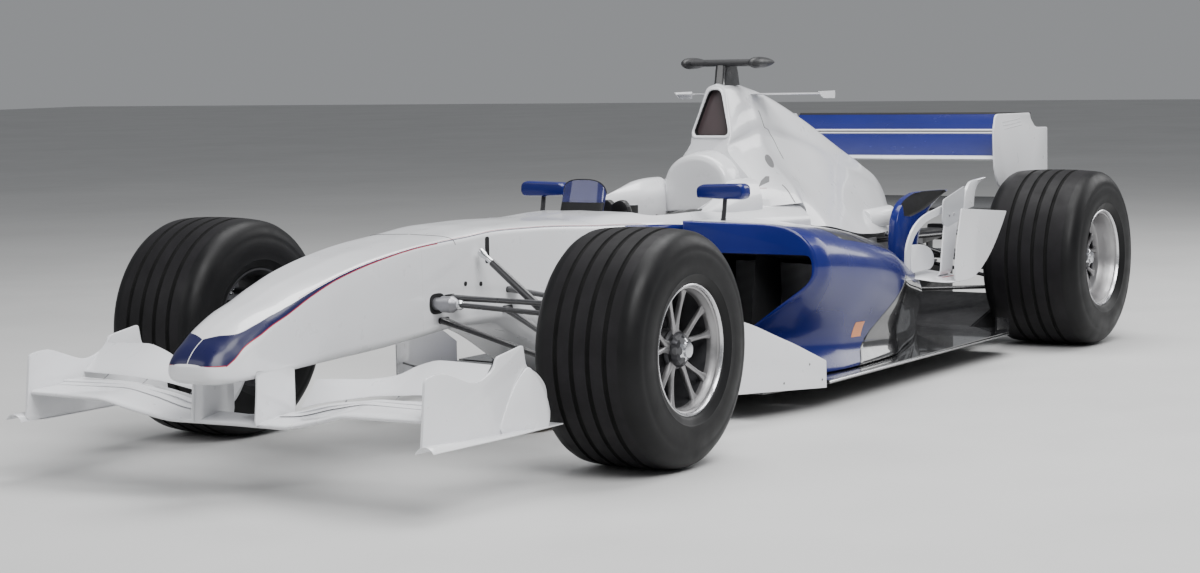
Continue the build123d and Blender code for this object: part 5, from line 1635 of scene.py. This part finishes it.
# The low blade turns up at both ends
blade_rows = ((478, 330, -846, -1054), (520, 325, -836, -1062), (570, 318, -838, -1066),
              (620, 311, -850, -1064), (660, 308, -862, -1058), (688, 309, -874, -1054))
blade_rings = []
for y, z, front, rear in blade_rows:
    blade_rings.append([(a, y, b) for a, b in foil((front, z), (rear, z + 4), 10, 2, 11)])
flip_parts.append((0, lofted(blade_rings)))

# The upright strut curls out of the blade
strut_rings = []
for t in np.linspace(0, 1, 18):
    if t < 0.35:
        a = t / 0.35 * math.pi / 2
        y, z = 576 + 30 * math.sin(a), 346 - 30 * math.cos(a)
    else:
        u = (t - 0.35) / 0.65
        y, z = 606, 346 + 196 * u
    front = -952 - 42 * max(0, (z - 346) / 196) ** 1.2
    rear = -1046 - 62 * max(0, (z - 346) / 196)
    strut_rings.append([(front, y - 2.5, z), (front, y + 2.5, z), (rear, y + 2.5, z),
                        (rear, y - 2.5, z)])
flip_parts.append((0, lofted(strut_rings)))

# The small plate with two rivets, and the horn that curls over it
small = loop(((-974, 584), (-1162, 624), (-1147, 549), (-1104, 504), (-1000, 486), (-964, 506)),
             (14, 14, 20, 24, 20, 14), 4)
# The small plate takes the pearl in painted shade
flip_parts.append((1, slab(list(small), 604, 609)))
for x, z in ((-1022, 528), (-1062, 530)):
    rivet = lathe_part([(0, 0.1), (2.2, 3), (1.6, 5), (0, 5.4)], (x, 609, z), "y", 12)
    flip_parts.append((2, rivet))
horn_outer = along(((-1147, 0, 540), (-1163, 0, 596), (-1214, 0, 636), (-1338, 0, 645)), 24)
horn_inner = along(((-1246, 0, 546), (-1256, 0, 592), (-1286, 0, 624), (-1338, 0, 638)), 24)
horn_rings = []
for a, b in zip(horn_outer, horn_inner):
    horn_rings.append([(a[0], 601, a[2]), (a[0], 611, a[2]),
                       (a[0] * 0.8 + b[0] * 0.2, 612, a[2] * 0.8 + b[2] * 0.2), (b[0], 605, b[2]),
                       (b[0], 601, b[2])])
flip_parts.append((0, lofted(horn_rings)))

# The white strut that rises from the pod's flank and bends back to the small plate
bent = along(((-758, 560, 332), (-764, 560, 420), (-806, 562, 486), (-880, 568, 530),
              (-990, 590, 560), (-1090, 604, 580)), 30)
bent_rings = []
for i, here in enumerate(bent):
    way = bent[min(i + 1, len(bent) - 1)] - bent[max(i - 1, 0)]
    way /= np.linalg.norm(way)
    back = np.array([-way[2], 0, way[0]])
    if back[0] > 0:
        back = -back
    deep = 34 - 12 * i / (len(bent) - 1)
    bent_rings.append([here + np.array([0, 4, 0]), here + back * deep + np.array([0, 3, 0]),
                       here + back * deep - np.array([0, 3, 0]), here - np.array([0, 4, 0])])
flip_parts.append((0, lofted(bent_rings)))

# The rounded inner panel
bulge = loop(((-840, 336), (-836, 436), (-940, 432), (-1010, 412), (-1040, 366), (-1010, 340)),
             (20, 16, 60, 60, 30, 16), 5)
bulge_rings = []
for y, grow in ((530, 0.86), (536, 0.97), (540, 1.0), (545, 0.99), (549, 0.93)):
    bulge_rings.append([(-930 + (a + 930) * grow, y, 386 + (b - 386) * grow) for a, b in bulge])
flip_parts.append((0, lofted(bulge_rings)))
red_foot = slab(list(loop(((-952, 311), (-1046, 311), (-1052, 317), (-950, 317)), 2, 2)), 608, 616)
flip_parts.append((3, red_foot))
both_sides = [(kind, twin) for kind, part in flip_parts for twin in (part, mirrored(part))]
grouped_piece("flip_ups_skin", both_sides, "body_white", [WHITE, PEARL_IN_SHADE, STEEL, STRIPE_RED],
              sharp=35, replaces=("flip_ups",))


# Bargeboards

BOARD_ROWS = ((130, 699, 69, 154), (330, 655, 81, 240), (560, 585, 91, 322), (720, 500, 93, 336),
              (880, 400, 99, 330))
board_table = np.array(BOARD_ROWS, float)
board_rings = []
for x in np.linspace(130, 880, 48):
    y, low, top = (float(pchip(board_table[:, 0], board_table[:, c], x)) for c in (1, 2, 3))
    ring = [(x, y, low), (x, y + 0.1, top - 3), (x, y - 1.2, top), (x, y - 3.8, top),
            (x, y - 5, top - 3), (x, y - 5, low)]
    board_rings.append(ring)
board = lofted(board_rings)
board_groups = []
for side in (1, -1):
    board_groups.append((0, board if side > 0 else mirrored(board)))
    route = [(690, side * 122, 78), (690, side * 300, 112), (690, side * 512, 152)]
    stay = tube_part(route, 7, 12, 0.45)
    board_groups.append((1, stay))
    for x, z in ((150, 96), (210, 150), (330, 104), (520, 220)):
        y = float(pchip(board_table[:, 0], board_table[:, 1], x))
        screw = lathe_part([(0, 0.1), (0.9, 2.6), (0.6, 3.4), (0, 3.8)], (x, side * y, z), "y", 12,
                           side)
        board_groups.append((2, screw))
foot_plate = slab([(131, 698), (420, 628), (420, 218), (331, 246), (331, 262), (151, 421)],
                  78.4, 87.6, "z")
board_groups += [(1, foot_plate), (1, mirrored(foot_plate))]
grouped_piece("bargeboards_skin", board_groups, "body_white", [WHITE, GLOSS_CARBON, HUB_DARK],
              sharp=35, replaces=("bargeboards",))


# Rear wing

REAR_INNER = 495.7


def plane_rings(front, rear, thickness, camber):
    """Equal sections between two edges, from one endplate to the other."""
    return [[(a, y, b) for a, b in foil(front, rear, thickness, camber, 21)]
            for y in np.linspace(-REAR_INNER, REAR_INNER, 31)]


def white_nosed(part, white_x):
    """Material numbers that leave a plane's front edge white and make the rest blue."""
    verts, faces = part
    return [int(np.mean(verts[list(face)], axis=0)[0] > white_x) for face in faces]


main_part = lofted(plane_rings((-1699, 692), (-1943, 780), 24, 16))
flap_part = lofted(plane_rings((-1950, 790), (-2054, 854), 12, 8))
gurney = slab([(-2048, 850), (-2055, 857), (-2058, 856), (-2052, 848)], -REAR_INNER, REAR_INNER)
slot_line = slab([(-1936, 781), (-1945, 784), (-1946, 780), (-1938, 777)], -REAR_INNER, REAR_INNER)
kinds = white_nosed(main_part, -1722) + white_nosed(flap_part, -1956)
kinds += [2] * len(gurney[1]) + [1] * len(slot_line[1])
mesh_piece("rear_wing_planes_skin", merged([main_part, flap_part, gurney, slot_line]), "body_blue",
           [DEEP_BLUE, WHITE, BLACK_AND_PAINTED_SHADE], kinds, sharp=50, replaces=("rear_wing_planes",))

beam = lofted(plane_rings((-1958, 482), (-2121, 524), 20, 12))
mast = []
for z, front, rear in ((390, -2012, -2092), (440, -2008, -2086), (490, -2006, -2080)):
    shape = loop(((front, 0), (front - 20, 8.5), (rear + 12, 6), (rear, 0), (rear + 12, -6),
                  (front - 20, -8.5)), 8, 3)
    mast.append([(a, b, z) for a, b in shape])
mesh_piece("beam_wing_skin", merged([beam, lofted(mast)]), "carbon_gloss", GLOSS_CARBON, sharp=50,
           replaces=("beam_wing",))

REAR_END = ((-1675, 801), (-1696, 860), (-2029, 856), (-2039, 834), (-2085, 799), (-2210, 795),
            (-2210, 420), (-2120, 330), (-1960, 330), (-1900, 430), (-1790, 560), (-1720, 594),
            (-1683, 652))
rear_end = slab(list(loop(REAR_END, (16, 22, 8, 14, 24, 10, 60, 40, 30, 60, 60, 20, 40), 4)),
                496.2, 503.8)
bevelled(mesh_piece("rear_endplates_skin", both(rear_end), "body_white", WHITE,
                    replaces=("rear_endplates",)), 2.0, 3)
# Grey lines in the pearl's painted shade mark the endplates' slits
slit_parts = []
for side in (1, -1):
    for k in range(3):
        route = [(-1760 - 8 * k, side * 503.9, 828 - 13 * k), (-1845, side * 503.9, 832 - 13 * k),
                 (-1930 - 8 * k, side * 503.9, 838 - 13 * k)]
        slit_parts.append(tube_part(route, 1.6, 6, 0.4, (0, 1, 0)))
mesh_piece("rear_endplate_slits", merged(slit_parts), "body_white", PEARL_IN_SHADE, sharp=60)


# Tail and rear suspension

tail_rings = []
for x, half, low, top in ((-1990.4, 60, 336, 390), (-2070, 53, 339, 390), (-2150, 44, 342, 389),
                          (-2265, 35, 346, 388)):
    tail_rings.append([(x, a, b) for a, b in loop(((-half, low), (half, low), (half, top),
                                                   (-half, top)), 14, 4)])
plate = slab(list(loop(((-2154, -62), (-2106, -62), (-2106, 62), (-2154, 62)), 10, 3)),
             262, 270, "z")
ear = slab([(-2156, 348), (-2150, 268), (-2110, 268), (-2104, 344)], 32, 40)
tail = merged([lofted(tail_rings), plate, both(ear)])
bevelled(mesh_piece("crash_structure_skin", tail, "carbon_matt", MATT_CARBON, sharp=40,
                    replaces=("crash_structure",)), 1.2)
light_ring = loop(((-34, 338), (34, 338), (34, 402), (-34, 402)), 8, 4)
v, f = lofted([[(x, a * g, 370 + (b - 370) * g) for a, b in light_ring]
               for x, g in ((-2265.4, 1.0), (-2299, 1.0), (-2303, 0.97), (-2304.6, 0.92),
                            (-2304.6, 0.86), (-2302.5, 0.84))])
kinds = [int(np.mean(v[list(face)], axis=0)[0] < -2302 and max(abs(v[k][1]) for k in face) < 29.6)
         for face in f]
mesh_piece("rain_light_skin", (v, f), "rear_light", [MATT_CARBON, LENS], kinds, sharp=35,
           replaces=("rain_light",))

UPRIGHT_INNER_Y = 598.7
rear_groups = []
for side in (1, -1):
    for outer_x, outer_z, ends in ((REAR_AXLE_X, 438, ((-1500, 392), (-1800, 392))),
                                   (REAR_AXLE_X + 8, 212, ((-1470, 210), (-1868, 296)))):
        tip = (outer_x, side * UPRIGHT_INNER_Y, outer_z)
        for ex, ez in ends:
            rear_groups.append((0, arm_part((ex, side * 97, ez), tip, 40, 14, 9, 0.25)))
        rear_groups.append((1, tube_part([(outer_x, side * (UPRIGHT_INNER_Y - 34), outer_z),
                                          (outer_x, side * (UPRIGHT_INNER_Y - 2), outer_z)],
                                         [13, 16], 18, 0.6)))
    rear_groups.append((0, arm_part((-1940, side * 76, 320),
                                    (REAR_AXLE_X - 78, side * UPRIGHT_INNER_Y, 320), 21, 12, 7)))
grouped_piece("rear_wishbones_skin", rear_groups, "carbon_gloss", [ARM_CARBON, BRIGHT],
              replaces=("rear_wishbones",))
rod_groups = []
for side in (1, -1):
    low = np.array((REAR_AXLE_X + 30, side * 556, 236), float)
    way = np.array((-1544, side * 118, 418), float) - low
    for kind, shares, radii, flat in ((0, (0.06, 0.5, 0.94), (9, 12, 9), 0.75),
                                      (1, (0, 0.03, 0.07), (10.5, 10, 7.5), 1),
                                      (1, (0.93, 0.97, 1.0), (7.5, 10, 10.5), 1)):
        route = [low + way * t for t in shares]
        rod_groups.append((kind, tube_part(route, radii, 16, flat)))
grouped_piece("rear_pushrods_skin", rod_groups, "carbon_gloss", [ARM_CARBON, BRIGHT],
              replaces=("rear_pushrods",))


def hoop(centre, across, upward, radius):
    """A ring of points about a centre."""
    return [tuple(centre + across * radius * math.cos(a) + upward * radius * math.sin(a))
            for a in np.linspace(0, 2 * math.pi, 28, endpoint=False)]


# Exhaust pipes in white fairings. Each row is a share of the pipe's length and a radius.
EXHAUST_SHELL = ((0, 36), (0.02, 37.6), (0.6, 37.6), (0.98, 37.6), (1, 37), (1, 35))
EXHAUST_PIPE = ((0.7, 33.8), (0.995, 33.8), (1.002, 35), (1.002, 33), (0.75, 32.5))
exhaust_groups = []
for side in (1, -1):
    start = np.array((-1292, side * 150, 484), float)
    way = np.array((-1452, side * 176, 494), float) - start
    axis = way / np.linalg.norm(way)
    across = np.cross(axis, (0, 0, 1))
    across /= np.linalg.norm(across)
    upward = np.cross(across, axis)
    for kind, rows in enumerate((EXHAUST_SHELL, EXHAUST_PIPE)):
        rings = [hoop(start + way * share, across, upward, radius) for share, radius in rows]
        exhaust_groups.append((kind, lofted(rings)))
grouped_piece("exhausts_skin", exhaust_groups, "body_white", [WHITE, HEATED], sharp=50,
              replaces=("exhausts",))

# A bright metal strip runs along the floor's edge: a painted highlight for the edge's glint
edge_highlight_parts = []
for side in (1, -1):
    route = [(112, 699), (-1336, 699), (-1430, 654.5)]
    edge_highlight_parts.append(tube_part([(x, side * y, 84) for x, y in route], 3.2, 8, 1.2))
mesh_piece("floor_edge_strips", merged(edge_highlight_parts), "carbon_gloss", BRIGHT, sharp=50)


# Materials for the CAD nodes that stay

KEPT = {
    "floor": GLOSS_CARBON, "plank": WOOD, "diffuser": MATT_CARBON, "radiators": COOLER,
    "engine": CASE, "gearbox": CASE, "rear_uprights": ALLOY,
}
for word, side in SIDES:
    KEPT[f"hub_front_{word}"] = DISC_GREY
    KEPT[f"hub_rear_{word}"] = DISC_GREY
    KEPT[f"upright_front_{word}"] = ALLOY
    KEPT[f"driveshaft_{word}"] = STEEL


def dress(name, mat):
    """Puts a material in every slot of a CAD node's objects."""
    for obj in bpy.data.objects:
        if obj.type == "MESH" and (obj.name == name or obj.name.startswith(name + ".")):
            for slot in obj.material_slots:
                slot.material = mat


for name, mat in KEPT.items():
    dress(name, mat)


# Camera, light and floor

FLOOR_REACH = 40.0
SKY = (0.80, 0.82, 0.85, 1)
SKY_STRENGTH = 0.36
# Name, place, target, size, power. Places and sizes of the stage are in metres.
LAMPS = (("key", (3.5, 4.5, 6.0), (0, 0, 0.3), 4.5, 700),
         ("fill", (6.5, -3.5, 4.0), (0.5, 0, 0.3), 4.0, 110),
         ("top", (-1.5, 0.5, 6.5), (-0.5, 0, 0), 5.0, 560),
         ("rim", (-6.5, 3.5, 3.5), (-1, 0, 0.5), 3.5, 180))
# Solved from the photograph
CAMERA_PLACE = (7.10612, 4.17701, 1.12015)
CAMERA_YAW = math.radians(-148.37)
CAMERA_PITCH = math.radians(-5.32)
CAMERA_ROLL = math.radians(-1.09)
CAMERA_LENS = 75.66


def build_stage():
    """A pale floor, a soft even sky and four soft lamps."""
    mat, tree, s = material("floor_pale")
    drive(tree, s, "Base Color", noise(tree, 0.6, 5.0), (0.50, 0.50, 0.495), (0.55, 0.55, 0.545))
    drive(tree, s, "Roughness", noise(tree, 3.0, 4.0), 0.55, 0.7)
    mesh = bpy.data.meshes.new("studio_floor")
    corners = [(a * FLOOR_REACH, b * FLOOR_REACH, 0)
               for a, b in ((-1, -1), (1, -1), (1, 1), (-1, 1))]
    mesh.from_pydata(corners, [], [(0, 1, 2, 3)])
    mesh.materials.append(mat)
    floor = bpy.data.objects.new("studio_floor", mesh)
    bpy.context.scene.collection.objects.link(floor)
    world = bpy.data.worlds.new("studio")
    bpy.context.scene.world = world
    world.use_nodes = True
    sky = world.node_tree.nodes["Background"]
    sky.inputs["Color"].default_value = SKY
    sky.inputs["Strength"].default_value = SKY_STRENGTH
    for name, place, target, size, power in LAMPS:
        data = bpy.data.lights.new(name, "AREA")
        data.energy = power
        data.size = size
        lamp = bpy.data.objects.new(name, data)
        lamp.location = place
        lamp.rotation_euler = (Vector(target) - Vector(place)).to_track_quat("-Z", "Y").to_euler()
        bpy.context.scene.collection.objects.link(lamp)


def build_camera():
    """The photograph's view."""
    level = math.cos(CAMERA_PITCH)
    forward = Vector((level * math.cos(CAMERA_YAW), level * math.sin(CAMERA_YAW),
                      math.sin(CAMERA_PITCH)))
    right = forward.cross(Vector((0, 0, 1))).normalized()
    up = right.cross(forward)
    rolled_right = right * math.cos(CAMERA_ROLL) + up * math.sin(CAMERA_ROLL)
    rolled_up = -right * math.sin(CAMERA_ROLL) + up * math.cos(CAMERA_ROLL)
    data = bpy.data.cameras.new("camera")
    data.lens = CAMERA_LENS
    data.sensor_width = 36
    data.clip_end = 200
    camera = bpy.data.objects.new("camera", data)
    rows = Matrix((rolled_right, rolled_up, -forward)).transposed().to_4x4()
    camera.matrix_world = Matrix.Translation(CAMERA_PLACE) @ rows
    bpy.context.scene.collection.objects.link(camera)
    bpy.context.scene.camera = camera


build_stage()
build_camera()
